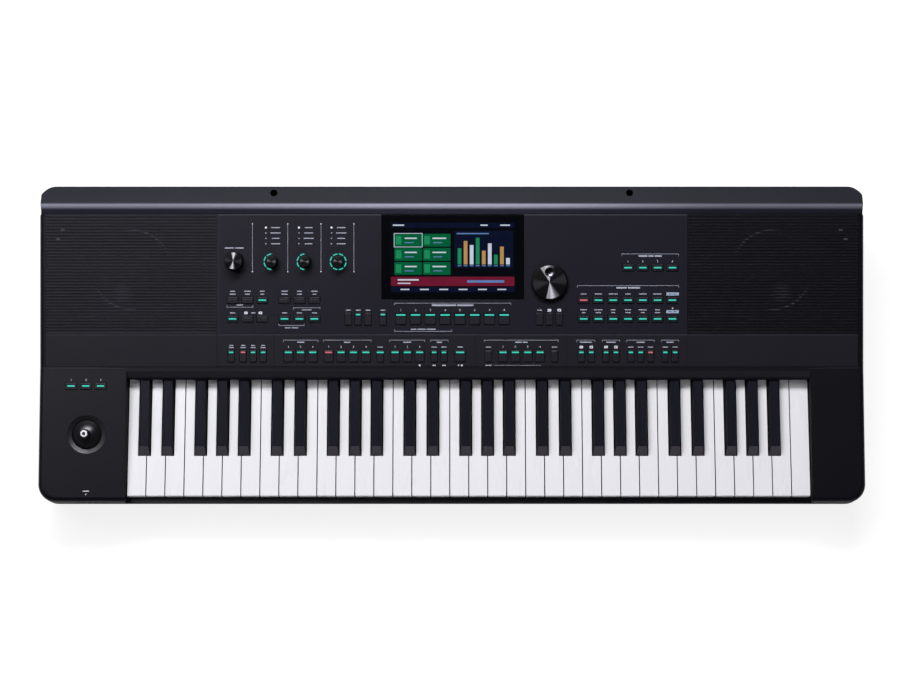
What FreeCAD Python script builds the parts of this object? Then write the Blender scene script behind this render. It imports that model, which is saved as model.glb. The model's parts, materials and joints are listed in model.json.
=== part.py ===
import FreeCAD, Part
import math
import os

from FreeCAD import Placement, Rotation, Vector

# Arranger keyboard with 61 keys, in millimetres.
# Origin: on the table, under the middle of the case. +X right, +Y to the rear, +Z up.

os.makedirs("parts", exist_ok=True)

# Keys
octaves = 5
white_pitch = 23.5
key_gap = 1.3
white_top_z = 68.0
white_lip_h = 18.0
white_head_len = 50.0
white_edge_r = 1.5
neck_h = 13.0
key_skin = 2.6
key_wall = 1.8
key_show = 143.5
key_tail_len = 66.5
key_travel = 10.0
black_w = 13.7
black_top_w = 10.6
black_rise = 11.0
black_slope = 9.5
tail_w = 9.0
tail_h = 10.0
tail_roof = 2.2
pivot_r = 2.5
pivot_drop = 11.0
pivot_play = 0.3
comb_bar_w = 6.0
comb_bar_h = 2.4
comb_bar_gap = 1.0

# Case
left_cheek_w = 109.0
right_cheek_w = 67.0
corner_r = 22.0
wall = 3.0
foot_h = 6.0
foot_r = 11.0
floor_t = 3.0
base_draft = 6.0
parting_z = 48.0
cheek_rise = 8.0
edge_round = 6.5
crease_r = 60.0
front_rail_w = 6.5
front_rail_drop = 10.0
front_rail_h = 8.0
rail_key_gap = 1.2
well_gap = 0.8
fascia_lift = 2.0
fascia_h = 9.0
fascia_run = 13.8
lip_w = 4.2
deck_tilt = 10.0
deck_rim = 7.3
deck_t = 3.0
plate_t = 3.0
plate_gap = 0.3
ledge = 6.0
strip_start = 1.2
strip_len = 40.0
panel_margin = 11.9
strip_groove_w = 0.7
strip_groove_t = 0.5

# Rear rail and its music-rest sockets
rail_run = 35.9
rail_seat_drop = 11.0
rail_crest_h = 8.5
rail_crest_run = 10.8
rail_crest_r = 5.0
rail_back_drop = 9.0
rail_end_step = 2.4
rail_back_r = 2.5
rest_spread = 220.7
rest_hole_r = 4.2
rest_mouth_r = 4.8
rest_depth = 26.0
rest_inset = 9.0
rest_wall = 1.1

# Screws that hold the two case halves together
screw_r = 1.6
screw_head_r = 3.5
screw_head_h = 2.5
screw_grip = 18.0
screw_play = 0.05
boss_r = 5.0
boss_inset = 14.0
boss_clear = 15.0

# Grilles and speakers
slot_w = 2.0
slot_pitch = 3.8
slot_margin = 1.0
grille_rib_w = 2.5
grille_rib_t = 1.4
woofer_rise = 5.6
woofer_r = 51.0
woofer_flange_r = 58.0
woofer_flange_t = 3.0
woofer_depth = 34.0
cone_t = 1.2
rim_w = 3.0
rim_drop = 2.0
basket_t = 2.0
surround_w = 7.0
surround_h = 1.6
dust_cap_h = 6.0
magnet_r = 27.0
magnet_h = 16.0
tweeter_inset_u = 24.7
tweeter_inset_v = 26.0
tweeter_r = 11.0
tweeter_flange_r = 15.0
tweeter_h = 14.0

# Display
glass_u = 1.2
glass_start = 84.5
glass_rear_gap = 0.5
glass_w = 176.2
glass_h = 105.0
glass_t = 1.6
bezel_u = 10.1
bezel_v = 8.5
module_edge = 2.5
module_t = 6.0

# Push buttons: caps stand proud of the panel and hang on a thin carrier under it
cap_proud = 1.6
cap_play = 0.35
cap_chamfer = 0.5
carrier_t = 1.2
carrier_margin = 1.2
carrier_drop = 0.4
button_travel = 1.0
board_gap = 1.0
board_t = 1.6
post_w = 6.0
strip_post_v = 30.0
PANEL_POSTS = ((-220.0, 72.0), (-150.0, 72.0), (90.0, 72.0), (147.0, 72.0), (-246.0, 110.0), (190.0, 110.0))
STRIP_POSTS = (-240.0, -60.0, 86.0, 212.0)
STRIP_GROOVES = (-220.0, 29.6, 142.9)

# Rows of buttons: (first u, pitch, last u, v, cap size)
UPPER_ROW_V = 83.7
LOWER_ROW_V = 60.5
STRIP_ROW_V = 14.5
PART_ROW_V = 123.9
WIDE_CAP = (14.0, 8.0)
MEMORY_CAP = (13.2, 14.0)
NARROW_CAP = (8.5, 15.5)
STRIP_CAP = (11.6, 14.6)
STRIP_NARROW_CAP = (8.4, 14.6)
DECK_BANKS = {
    "select_buttons": [(-271.5, 18.4, -234.7, UPPER_ROW_V, WIDE_CAP), (-271.5, 18.4, -234.7, LOWER_ROW_V, WIDE_CAP)],
    "setting_buttons": [(-207.2, 18.5, -170.2, UPPER_ROW_V, WIDE_CAP), (-207.2, 18.5, -170.2, LOWER_ROW_V, WIDE_CAP)],
    "store_buttons": [(-128.1, 12.1, -103.9, LOWER_ROW_V, NARROW_CAP), (-85.3, 0.0, -85.3, LOWER_ROW_V, NARROW_CAP)],
    "memory_buttons": [(-63.1, 18.3, 65.0, LOWER_ROW_V, MEMORY_CAP)],
    "exit_buttons": [(108.8, 12.2, 133.2, LOWER_ROW_V, NARROW_CAP)],
    "voice_buttons": [
        (163.4, 18.3, 273.2, UPPER_ROW_V, WIDE_CAP),
        (163.4, 18.3, 273.2, LOWER_ROW_V, WIDE_CAP),
        (218.3, 18.35, 273.35, PART_ROW_V, WIDE_CAP),
    ],
}
STRIP_BANKS = {
    "style_buttons": [
        (-273.2, 0.0, -273.2, STRIP_ROW_V, STRIP_NARROW_CAP),
        (-258.5, 12.4, -233.7, STRIP_ROW_V, STRIP_NARROW_CAP),
        (-202.4, 15.1, -172.2, STRIP_ROW_V, STRIP_CAP),
        (-152.5, 15.4, -106.3, STRIP_ROW_V, STRIP_CAP),
        (-88.6, 0.0, -88.6, STRIP_ROW_V, STRIP_NARROW_CAP),
        (-70.2, 15.2, -39.8, STRIP_ROW_V, STRIP_CAP),
        (-21.8, 12.1, -9.7, STRIP_ROW_V, STRIP_NARROW_CAP),
        (10.4, 0.0, 10.4, STRIP_ROW_V, MEMORY_CAP),
    ],
    "pad_buttons": [
        (45.4, 0.0, 45.4, STRIP_ROW_V, STRIP_NARROW_CAP),
        (63.5, 15.3, 109.4, STRIP_ROW_V, STRIP_CAP),
        (127.3, 0.0, 127.3, STRIP_ROW_V, STRIP_NARROW_CAP),
    ],
    "effect_buttons": [
        (160.5, 12.3, 172.8, STRIP_ROW_V, STRIP_NARROW_CAP),
        (191.1, 12.2, 203.3, STRIP_ROW_V, STRIP_NARROW_CAP),
        (221.8, 12.2, 246.2, STRIP_ROW_V, STRIP_NARROW_CAP),
        (264.5, 12.2, 276.7, STRIP_ROW_V, STRIP_NARROW_CAP),
    ],
}

# Rotary controls
knob_lift = 0.6
shaft_r = 3.0
shaft_play = 0.06
volume_inset = 20.8
volume_v = 132.0
volume_r = 12.2
volume_h = 15.0
encoder_start = 46.8
encoder_pitch = 41.0
encoder_v = 131.3
encoder_r = 8.2
encoder_h = 13.0
knob_taper = 0.5
knob_round = 1.0
ring_r = 10.5
ring_t = 1.5
ring_play = 0.1
dial_gap = 9.0
dial_v = 105.9
dial_r = 22.7
dial_h = 6.5
dimple_r = 6.4
dimple_offset = 12.5
dimple_depth = 2.2
pot_size = 15.0

# Joystick
stick_offset = 5.2
stick_setback = 82.7
assign_pitch = 18.25
assign_setback = 22.8
assign_offset = 1.6
stick_drop = 12.0
dish_r = 23.7
dish_lip_drop = 1.2
dome_r = 20.5
dome_t = 2.0
dome_skirt = 2.0
dome_play = 0.5
cup_wall = 1.8
cup_depth = 12.5
stick_top_h = 34.0
stick_r = 5.0
yoke_half = 11.0
yoke_bar = 3.0
yoke_h = 4.0
gimbal_pin_r = 1.5
gimbal_play = 0.05
ear_t = 3.0
ear_gap = 1.0

# Rear socket plate and the headphone socket in the front edge
socket_margin = 23.0
socket_plate_h = 28.0
socket_plate_z = 74.0
socket_flange = 4.0
socket_flange_t = 2.5
jack_x = 36.0
jack_pitch = 24.0
jack_count = 5
jack_bore_r = 3.2
jack_barrel_r = 5.2
jack_depth = 16.0
jack_body = 14.0
jack_body_len = 22.0
jack_play = 0.1
usb_a_step = 26.0
usb_a_w = 12.6
usb_a_h = 5.2
usb_b_step = 23.0
usb_b_w = 8.6
usb_b_h = 7.8
usb_wall = 0.8
usb_depth = 12.0
dc_step = 23.0
dc_bore_r = 3.2
dc_pin_r = 1.0
switch_step = 28.0
switch_r = 5.5
switch_proud = 0.2
switch_len = 12.0

# Key frame, felts and contacts
frame_z = 30.0
frame_t = 3.0
frame_side = 4.0
felt_t = 2.2
felt_w = 14.0
felt_play = 0.3
contact_y = -65.0
contact_w = 30.0
rubber_w = 18.0
rubber_t = 1.4
dome_size = 8.0
rod_rib_t = 2.6
stand_w = 14.0

# Main board
main_board_x = 130.0
main_board_w = 220.0
main_board_y = 105.0
main_board_d = 90.0
main_board_z = 24.0
standoff_r = 4.0

# Worked-out places
white_count = 7 * octaves + 1
octave_w = 7 * white_pitch
key_span = white_count * white_pitch
case_w = left_cheek_w + key_span + right_cheek_w
half_w = case_w / 2
deck_setback = front_rail_w + rail_key_gap + key_show + fascia_run
glass_v = glass_start + glass_h / 2
view_w = glass_w - 2 * bezel_u
view_h = glass_h - 2 * bezel_v
deck_len = glass_start + glass_h + glass_rear_gap
case_depth = deck_setback + deck_len * math.cos(math.radians(deck_tilt)) + rail_run
front_y = -case_depth / 2
rear_y = case_depth / 2
key_x0 = -half_w + left_cheek_w
well_x0 = key_x0 - well_gap
well_x1 = key_x0 + key_span + well_gap
cheek_front_z = white_top_z + cheek_rise
front_rail_z = white_top_z - front_rail_drop
front_rail_y = front_y + front_rail_w
white_front_y = front_rail_y + rail_key_gap
white_bottom_z = white_top_z - white_lip_h
black_front_y = white_front_y + white_head_len + key_gap
black_top_z = white_top_z + black_rise
fascia_z = black_top_z + fascia_lift
deck_y0 = front_y + deck_setback
deck_z0 = fascia_z + fascia_h
fascia_y = deck_y0 - fascia_run
lip_y = deck_y0 - lip_w
cheek_slope = (deck_z0 - cheek_front_z) / deck_setback
deck_slope = math.tan(math.radians(deck_tilt))
stick_y = -stick_setback
neck_end_y = fascia_y + wall
key_reach = key_show + key_tail_len
pivot_y = white_front_y + key_reach
pivot_z = white_top_z - pivot_drop
key_angle = math.degrees(math.asin(key_travel / key_reach))
tail_z1 = pivot_z + pivot_r + pivot_play + tail_roof
tail_z0 = tail_z1 - tail_h
deck_half = half_w - deck_rim
panel_left = panel_margin + WIDE_CAP[0] / 2 - DECK_BANKS["select_buttons"][0][0]
panel_right = panel_margin + WIDE_CAP[0] / 2 + DECK_BANKS["voice_buttons"][0][2]
panel_v0 = strip_start + strip_len + plate_gap
woofer_u = (panel_left + deck_half) / 2
woofer_v = (panel_v0 + deck_len) / 2 + woofer_rise
tweeter_u = deck_half - tweeter_inset_u
tweeter_v = deck_len - tweeter_inset_v
volume_u = volume_inset - panel_left
encoder_u = volume_u + encoder_start
dial_u = glass_u + glass_w / 2 + dial_gap + dial_r
stick_x = key_x0 - left_cheek_w / 2 + stick_offset
phones_x = stick_x
assign_x = stick_x - assign_offset
usb_a_x = jack_x + (jack_count - 1) * jack_pitch + usb_a_step
usb_b_x = usb_a_x + usb_b_step
dc_x = usb_b_x + dc_step
switch_x = dc_x + switch_step
socket_plate_x = (jack_x + switch_x) / 2
socket_plate_w = switch_x - jack_x + 2 * socket_margin
boss_rear_x = socket_plate_x + socket_plate_w / 2 + boss_clear
sky_z = case_w
under_plate = -plate_t
under_deck = -(plate_t + deck_t)
carrier_top = under_plate - carrier_drop
carrier_bottom = carrier_top - carrier_t
board_top = carrier_bottom - button_travel - board_gap
floor_z = foot_h + floor_t

DECK = Placement(Vector(0, deck_y0, deck_z0), Rotation(Vector(1, 0, 0), deck_tilt))
CHEEK = Placement(Vector(0, deck_y0, deck_z0), Rotation(Vector(1, 0, 0), math.degrees(math.atan(cheek_slope))))
ASSIGN_ROW = (assign_x - assign_pitch, assign_pitch, assign_x + assign_pitch, -assign_setback, WIDE_CAP)
X_AXIS = Vector(1, 0, 0)
Y_AXIS = Vector(0, 1, 0)
Z_AXIS = Vector(0, 0, 1)


# Small shape helpers
def box(x0, x1, y0, y1, z0, z1):
    return Part.makeBox(x1 - x0, y1 - y0, z1 - z0, Vector(x0, y0, z0))


def cylinder(radius, x, y, z0, z1):
    return Part.makeCylinder(radius, z1 - z0, Vector(x, y, z0), Z_AXIS)


def rod_y(radius, x, z, y0, y1):
    return Part.makeCylinder(radius, y1 - y0, Vector(x, y0, z), Y_AXIS)


def rod_x(radius, y, z, x0, x1):
    return Part.makeCylinder(radius, x1 - x0, Vector(x0, y, z), X_AXIS)


def fuse(shapes):
    first, rest = shapes[0], shapes[1:]
    return first.multiFuse(rest).removeSplitter() if rest else first


def cut(shape, tools):
    return shape.cut(Part.makeCompound(tools)) if tools else shape


def on_deck(shape):
    placed = shape.copy()
    placed.Placement = DECK * placed.Placement
    return placed


def on_cheek(shape):
    placed = shape.copy()
    placed.Placement = CHEEK * placed.Placement
    return placed


def deck_point(v, w):
    point = DECK.multVec(Vector(0, v, w))
    return point.y, point.z


def slope_z(y, slope, depth):
    # Height at y of the plane that starts at the front of the deck, that far below its surface.
    return deck_z0 + slope * (y - deck_y0) - depth * math.hypot(1, slope)


def revolve(points, x=0.0, y=0.0):
    outline = [Vector(r, 0, z) for r, z in points]
    face = Part.Face(Part.makePolygon(outline + outline[:1]))
    turned = face.revolve(Vector(0, 0, 0), Z_AXIS, 360)
    turned.translate(Vector(x, y, 0))
    return turned


def rounded_wire(corners):
    # Each corner is (point, radius); a radius of 0 keeps the corner sharp.
    edges = []
    starts, ends, mids = [], [], []
    count = len(corners)
    for i, (point, radius) in enumerate(corners):
        back = (corners[i - 1][0] - point).normalize()
        ahead = (corners[(i + 1) % count][0] - point).normalize()
        half = back.getAngle(ahead) / 2
        run = radius / math.tan(half)
        middle = (back + ahead).normalize() * (radius / math.sin(half) - radius)
        starts.append(point + back * run)
        ends.append(point + ahead * run)
        mids.append(point + middle)
    for i, (point, radius) in enumerate(corners):
        if radius > 0:
            edges.append(Part.Arc(starts[i], mids[i], ends[i]).toShape())
        edges.append(Part.LineSegment(ends[i], starts[(i + 1) % count]).toShape())
    return Part.Wire(edges)


def profile_bar(corners, x0, x1):
    # A bar along X with a section given as (y, z, corner radius).
    wire = rounded_wire([(Vector(x0, y, z), r) for y, z, r in corners])
    return Part.Face(wire).extrude(Vector(x1 - x0, 0, 0))


def plan_wire(inset, z):
    radius = corner_r - inset
    points = [
        Vector(-half_w + inset, front_y + inset, z),
        Vector(half_w - inset, front_y + inset, z),
        Vector(half_w - inset, rear_y - inset, z),
        Vector(-half_w + inset, rear_y - inset, z),
    ]
    return rounded_wire([(point, radius) for point in points])


def plan_block(inset, z0, z1):
    return Part.Face(plan_wire(inset, z0)).extrude(Vector(0, 0, z1 - z0))


def save(name, solids):
    shape = solids if isinstance(solids, Part.Shape) else Part.makeCompound(solids)
    shape.exportStep("parts/" + name + ".step")


# Keys: three moulded combs per octave, hooked over the pivot rod
NATURALS = {"C": (0, 0), "D": (1, 2), "E": (2, 4), "F": (3, 5), "G": (4, 7), "A": (5, 9), "B": (6, 11)}
SHARPS = {"C": -2.6, "D": 2.6, "F": -3.6, "G": 0.0, "A": 3.4}
BEFORE = {"D": "C", "E": "D", "G": "F", "A": "G", "B": "A"}
BAR_LEVEL = {"naturals_cegb": 0, "naturals_dfa": 1, "sharps": 2}


def sharp_x(letter):
    step = NATURALS[letter][0]
    return (step + 1) * white_pitch + SHARPS[letter]


def tail_x(semitone):
    return (semitone + 0.5) * octave_w / 12


def bar_z(comb):
    return tail_z0 + BAR_LEVEL[comb] * (comb_bar_h + comb_bar_gap)


def key_tail(x, comb):
    # The tail hooks over the rod with an open notch and carries a tab to the comb bar.
    x0, x1 = x - tail_w / 2, x + tail_w / 2
    notch = pivot_r + pivot_play
    end_y = pivot_y + notch + tail_roof
    tail = box(x0, x1, neck_end_y - key_wall, end_y, tail_z0, tail_z1)
    slot = box(x0 - 1, x1 + 1, pivot_y - notch, pivot_y + notch, tail_z0 - 1, pivot_z + notch)
    tab = box(x0, x1, end_y - tail_roof, end_y + key_gap + comb_bar_w, bar_z(comb), bar_z(comb) + comb_bar_h)
    return tail.cut(slot).fuse(tab)


def white_key(octave_x, letter, top_key=False):
    step, semitone = NATURALS[letter]
    x0 = octave_x + step * white_pitch + key_gap / 2
    x1 = x0 + white_pitch - key_gap
    neck_x0, neck_x1 = x0, x1
    if letter in BEFORE:
        neck_x0 = octave_x + sharp_x(BEFORE[letter]) + black_w / 2 + key_gap
    if letter in SHARPS and not top_key:
        neck_x1 = octave_x + sharp_x(letter) - black_w / 2 - key_gap
    head_end = white_front_y + white_head_len
    neck_z = white_top_z - neck_h
    head = box(x0, x1, white_front_y, head_end, white_bottom_z, white_top_z)
    edge = [e for e in head.Edges if e.BoundBox.YMax < white_front_y + 0.01 and e.BoundBox.ZMin > white_top_z - 0.01]
    head = head.makeFillet(white_edge_r, edge)
    neck = box(neck_x0, neck_x1, head_end - key_wall, neck_end_y, neck_z, white_top_z)
    under = white_top_z - key_skin
    head_hollow = box(
        x0 + key_wall, x1 - key_wall, white_front_y + key_wall, head_end - key_wall, white_bottom_z - 1, under
    )
    neck_hollow = box(
        neck_x0 + key_wall, neck_x1 - key_wall, head_end - 2 * key_wall, neck_end_y - key_wall, neck_z - 1, under
    )
    shell = head.fuse(neck).cut(Part.makeCompound([head_hollow.fuse(neck_hollow)]))
    comb = "naturals_cegb" if letter in "CEGB" else "naturals_dfa"
    return shell.fuse(key_tail(octave_x + tail_x(semitone), comb))


def black_key(octave_x, letter):
    x = octave_x + sharp_x(letter)
    half, half_top = black_w / 2, black_top_w / 2
    neck_z = white_top_z - neck_h
    body = box(x - half, x + half, black_front_y, neck_end_y, neck_z, white_top_z)

    def outline(half_width, y0, z):
        points = [
            Vector(x - half_width, y0, z),
            Vector(x + half_width, y0, z),
            Vector(x + half_width, neck_end_y, z),
            Vector(x - half_width, neck_end_y, z),
        ]
        return Part.makePolygon(points + points[:1])

    top = Part.makeLoft(
        [outline(half, black_front_y, white_top_z), outline(half_top, black_front_y + black_slope, black_top_z)],
        True, True,
    )
    hollow = box(
        x - half_top + key_wall, x + half_top - key_wall,
        black_front_y + black_slope + key_wall, neck_end_y - key_wall, neck_z - 1, black_top_z - key_skin,
    )
    tail = key_tail(octave_x + tail_x(NATURALS[letter][1] + 1), "sharps")
    return body.fuse(top).cut(hollow).fuse(tail)


def comb_bar(octave_x, comb, first, last):
    x0 = octave_x + tail_x(first) - tail_w / 2
    x1 = octave_x + tail_x(last) + tail_w / 2
    y0 = pivot_y + pivot_r + pivot_play + tail_roof + key_gap
    return box(x0, x1, y0, y0 + comb_bar_w, bar_z(comb), bar_z(comb) + comb_bar_h)


def key_combs(octave):
    octave_x = key_x0 + octave * octave_w
    last_octave = octave == octaves - 1
    cegb = [white_key(octave_x, letter) for letter in "CEGB"]
    if last_octave:
        cegb.append(white_key(octave_x + octave_w, "C", top_key=True))
    cegb.append(comb_bar(octave_x, "naturals_cegb", 0, 12 if last_octave else 11))
    dfa = [white_key(octave_x, letter) for letter in "DFA"]
    dfa.append(comb_bar(octave_x, "naturals_dfa", 2, 9))
    sharps = [black_key(octave_x, letter) for letter in SHARPS]
    sharps.append(comb_bar(octave_x, "sharps", 1, 10))
    return {"naturals_cegb": fuse(cegb), "naturals_dfa": fuse(dfa), "sharps": fuse(sharps)}


# Push buttons
def row_centres(row):
    first, pitch, last = row[:3]
    count = round((last - first) / pitch) + 1 if pitch else 1
    return [first + i * pitch for i in range(count)]


def row_holes(row):
    width, depth = row[4]
    v = row[3]
    half_u, half_v = width / 2 + cap_play, depth / 2 + cap_play
    return [box(u - half_u, u + half_u, v - half_v, v + half_v, under_plate - 1, 1) for u in row_centres(row)]


def button_row(row):
    # Caps of one row on their common carrier, in the frame of the panel they sit in.
    width, depth = row[4]
    v = row[3]
    pieces = []
    for u in row_centres(row):
        cap = box(u - width / 2, u + width / 2, v - depth / 2, v + depth / 2, carrier_bottom, cap_proud)
        rim = [edge for edge in cap.Edges if edge.BoundBox.ZMin > cap_proud - 0.01]
        pieces.append(cap.makeChamfer(cap_chamfer, rim))
    u0 = row_centres(row)[0] - width / 2 - carrier_margin
    u1 = row_centres(row)[-1] + width / 2 + carrier_margin
    v0 = v - depth / 2 - carrier_margin
    v1 = v + depth / 2 + carrier_margin
    pieces.append(box(u0, u1, v0, v1, carrier_bottom, carrier_top))
    return fuse(pieces)


def button_banks():
    banks = {}
    for name, rows in list(DECK_BANKS.items()) + list(STRIP_BANKS.items()):
        banks[name] = [on_deck(button_row(row)) for row in rows]
    return banks


# Case halves
def outer_section():
    rear_deck_y, rear_deck_z = deck_point(deck_len, 0)
    seat_z = rear_deck_z - rail_seat_drop
    return [
        (front_y, parting_z, 0),
        (front_y, cheek_front_z, 0),
        (deck_y0, deck_z0, crease_r),
        (rear_deck_y, rear_deck_z, 0),
        (rear_deck_y, seat_z, 0),
        (rear_y, seat_z, 0),
        (rear_y, parting_z, 0),
    ]


def inner_section():
    rear_deck_y, rear_deck_z = deck_point(deck_len, 0)
    seat_z = rear_deck_z - rail_seat_drop - wall
    step_y = deck_y0 - wall
    inner_front_y = front_y + wall
    inner_rear_y = rear_deck_y - wall
    return [
        (inner_front_y, parting_z - 1, 0),
        (inner_front_y, slope_z(inner_front_y, cheek_slope, wall), 0),
        (step_y, slope_z(step_y, cheek_slope, wall), 0),
        (step_y, slope_z(step_y, deck_slope, -under_deck), 0),
        (inner_rear_y, slope_z(inner_rear_y, deck_slope, -under_deck), 0),
        (inner_rear_y, seat_z, 0),
        (rear_y - wall, seat_z, 0),
        (rear_y - wall, parting_z - 1, 0),
    ]


def top_edges(block):
    # Outer edges of the sloping top: along the front, round the front corners and along both sides.
    rear_deck_y = deck_point(deck_len, 0)[0]
    chosen = []
    for edge in block.Edges:
        bounds = edge.BoundBox
        on_side = min(abs(bounds.XMin), abs(bounds.XMax)) > half_w - 0.01 and bounds.XMin * bounds.XMax > 0
        on_front = bounds.YMax < front_y + corner_r + 0.01
        if (on_side or on_front) and bounds.ZMin > cheek_front_z - 0.01 and bounds.YMax < rear_deck_y + 0.01:
            if bounds.YLength > 0.01 or bounds.XLength > 0.01:
                chosen.append(edge)
    return chosen


def screw_places():
    side_x = half_w - boss_inset
    places = [(side, y) for side in (-side_x, side_x) for y in (front_y + corner_r + boss_inset, 0.0)]
    places += [(x, rear_y - boss_inset) for x in (-side_x, -boss_rear_x, 0.0, boss_rear_x, side_x)]
    return places


def speaker_holes():
    holes = []
    for side in (-1, 1):
        holes.append(cylinder(woofer_r, side * woofer_u, woofer_v, under_deck - 1, 1))
        holes.append(cylinder(tweeter_r, side * tweeter_u, tweeter_v, under_deck - 1, 1))
    return holes


def key_well():
    # Space over the keys: open above the front rail, and closed at the rear by the sloping fascia.
    under_y = fascia_y + 2 * wall
    corners = [
        (front_y - 1, front_rail_z), (front_rail_y, front_rail_z), (front_rail_y, parting_z - 1),
        (under_y, parting_z - 1), (under_y, fascia_z), (fascia_y, fascia_z),
        (lip_y, slope_z(lip_y, cheek_slope, 0)), (lip_y, sky_z), (front_y - 1, sky_z),
    ]
    return profile_bar([(y, z, 0) for y, z in corners], well_x0, well_x1)


def upper_case():
    block = profile_bar(outer_section(), -half_w, half_w).common(plan_block(0, parting_z, sky_z))
    outside = block.makeFillet(edge_round, top_edges(block))
    inside = profile_bar(inner_section(), -half_w + wall, half_w - wall)
    inside = inside.common(plan_block(wall, parting_z - 1, sky_z))
    below_skin = outside.translated(Vector(0, 0, -wall / 2))
    fascia = profile_bar(
        [(fascia_y, fascia_z, 0), (fascia_y + wall, fascia_z, 0), (deck_y0, deck_z0 + under_deck, 0),
         (deck_y0, sky_z, 0), (fascia_y, sky_z, 0)],
        well_x0 - wall, well_x1 + wall,
    )
    case = fuse([outside.cut(inside), fascia.common(below_skin)]).cut(key_well())
    rail_low = front_rail_z - front_rail_h
    rail = profile_bar(
        [(front_y, rail_low, 0), (front_y, front_rail_z, front_rail_w / 2), (front_rail_y, front_rail_z, 1),
         (front_rail_y, rail_low, 0)],
        well_x0 - wall, well_x1 + wall,
    )
    cheek_walls = [
        box(x, x + wall, front_y + wall, deck_y0, parting_z, sky_z).common(below_skin) for x in (well_x0 - wall, well_x1)
    ]
    bosses = [cylinder(boss_r, x, y, parting_z, sky_z).common(below_skin) for x, y in screw_places()]
    case = fuse([case, rail] + cheek_walls + bosses)
    tools = [
        box(-deck_half, deck_half, strip_start, deck_len + 1, under_plate, sky_z),
        box(-panel_left + ledge, panel_right - ledge, panel_v0 + ledge, deck_len - ledge, under_deck - 1, 1),
        box(-panel_left + ledge, panel_right - ledge, strip_start + ledge / 2, panel_v0 - ledge, under_deck - 1, 1),
    ]
    tools = [on_deck(tool) for tool in tools + speaker_holes()]
    tools += [on_cheek(hole) for hole in row_holes(ASSIGN_ROW)]
    tools.append(on_cheek(cylinder(dish_r + plate_gap, stick_x, stick_y, -2 * wall, 1)))
    tools.append(socket_opening())
    tools.append(phones_hole())
    tools += [cylinder(screw_r + screw_play, x, y, parting_z - 1, parting_z + screw_grip) for x, y in screw_places()]
    tools += [
        cylinder(rest_mouth_r + rest_wall + plate_gap, x, rear_y - rest_inset, parting_z + rest_depth, sky_z)
        for x in (-rest_spread, rest_spread)
    ]
    whole = cut(case, tools)
    end_blocks = [
        box(x0, x1, front_y - 1, deck_y0, parting_z - 1, sky_z)
        for x0, x1 in ((-half_w - 1, well_x0), (well_x1, half_w + 1))
    ]
    # Four mouldings: an end block at each side, the deck shell, and the slip along the front of the keys.
    return [whole.common(block) for block in end_blocks] + whole.cut(fuse(end_blocks)).Solids


def lower_case():
    def tray(inset, low, high):
        return Part.makeLoft([plan_wire(base_draft + inset, low), plan_wire(inset, high)], True, True)

    tray_out = tray(0, foot_h, parting_z)
    case = tray_out.cut(tray(wall, floor_z, parting_z + 1))
    stands = [
        box(x - stand_w / 2, x + stand_w / 2, y - stand_w / 2, y + stand_w / 2, foot_h, frame_z)
        for x in frame_stand_x() for y in (front_y + 4 * wall + stand_w, pivot_y - stand_w)
    ]
    bosses = [cylinder(boss_r, x, y, foot_h, parting_z) for x, y in screw_places()]
    posts = [cylinder(standoff_r, x, y, foot_h, main_board_z) for x, y in board_posts()]
    case = fuse([case] + stands + [boss.common(tray_out) for boss in bosses] + posts)
    tools = [cylinder(screw_r + screw_play, x, y, foot_h - 1, parting_z + 1) for x, y in screw_places()]
    tools += [cylinder(screw_head_r + screw_play, x, y, foot_h - 1, head_seat_z()) for x, y in screw_places()]
    tools += [phones_hole(), phones_body()]
    return cut(case, tools)


def head_seat_z():
    return foot_h + 2 * screw_head_h


def frame_stand_x():
    return [key_x0 + octave_w * (i + 0.5) for i in range(octaves)]


def board_posts():
    inset = 2 * standoff_r
    xs = (main_board_x - main_board_w / 2 + inset, main_board_x + main_board_w / 2 - inset)
    ys = (main_board_y - main_board_d / 2 + inset, main_board_y + main_board_d / 2 - inset)
    return [(x, y) for x in xs for y in ys]


def case_screws():
    screws = []
    for x, y in screw_places():
        head = cylinder(screw_head_r, x, y, head_seat_z() - screw_head_h, head_seat_z())
        shank = cylinder(screw_r, x, y, head_seat_z(), parting_z + screw_grip - 1)
        screws.append(head.fuse(shank))
    return screws


def feet():
    inset = corner_r + foot_r
    places = [(side * (half_w - inset), y) for side in (-1, 1) for y in (front_y + inset, rear_y - inset)]
    places.append((0.0, front_y + inset))
    return [revolve([(0, 0), (foot_r - 1, 0), (foot_r, foot_h / 2), (foot_r, foot_h), (0, foot_h)], x, y)
            for x, y in places]


# Rear rail
def rail_section(inset):
    rear_deck_y, rear_deck_z = deck_point(deck_len, 0)
    seat_z = rear_deck_z - rail_seat_drop
    crest_y = rear_deck_y + rail_crest_run
    crest_z = rear_deck_z + rail_crest_h
    back_z = crest_z - rail_back_drop
    low = seat_z if inset == 0 else seat_z - 1
    front = deck_point(deck_len, under_plate)[0] + plate_gap + inset
    return [
        (front, low, 0),
        (front, rear_deck_z - inset, 0),
        (crest_y, crest_z - inset * 1.4, rail_crest_r),
        (rear_y - inset, back_z - inset, rail_back_r if inset == 0 else 0),
        (rear_y - inset, low, 0),
    ]


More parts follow.
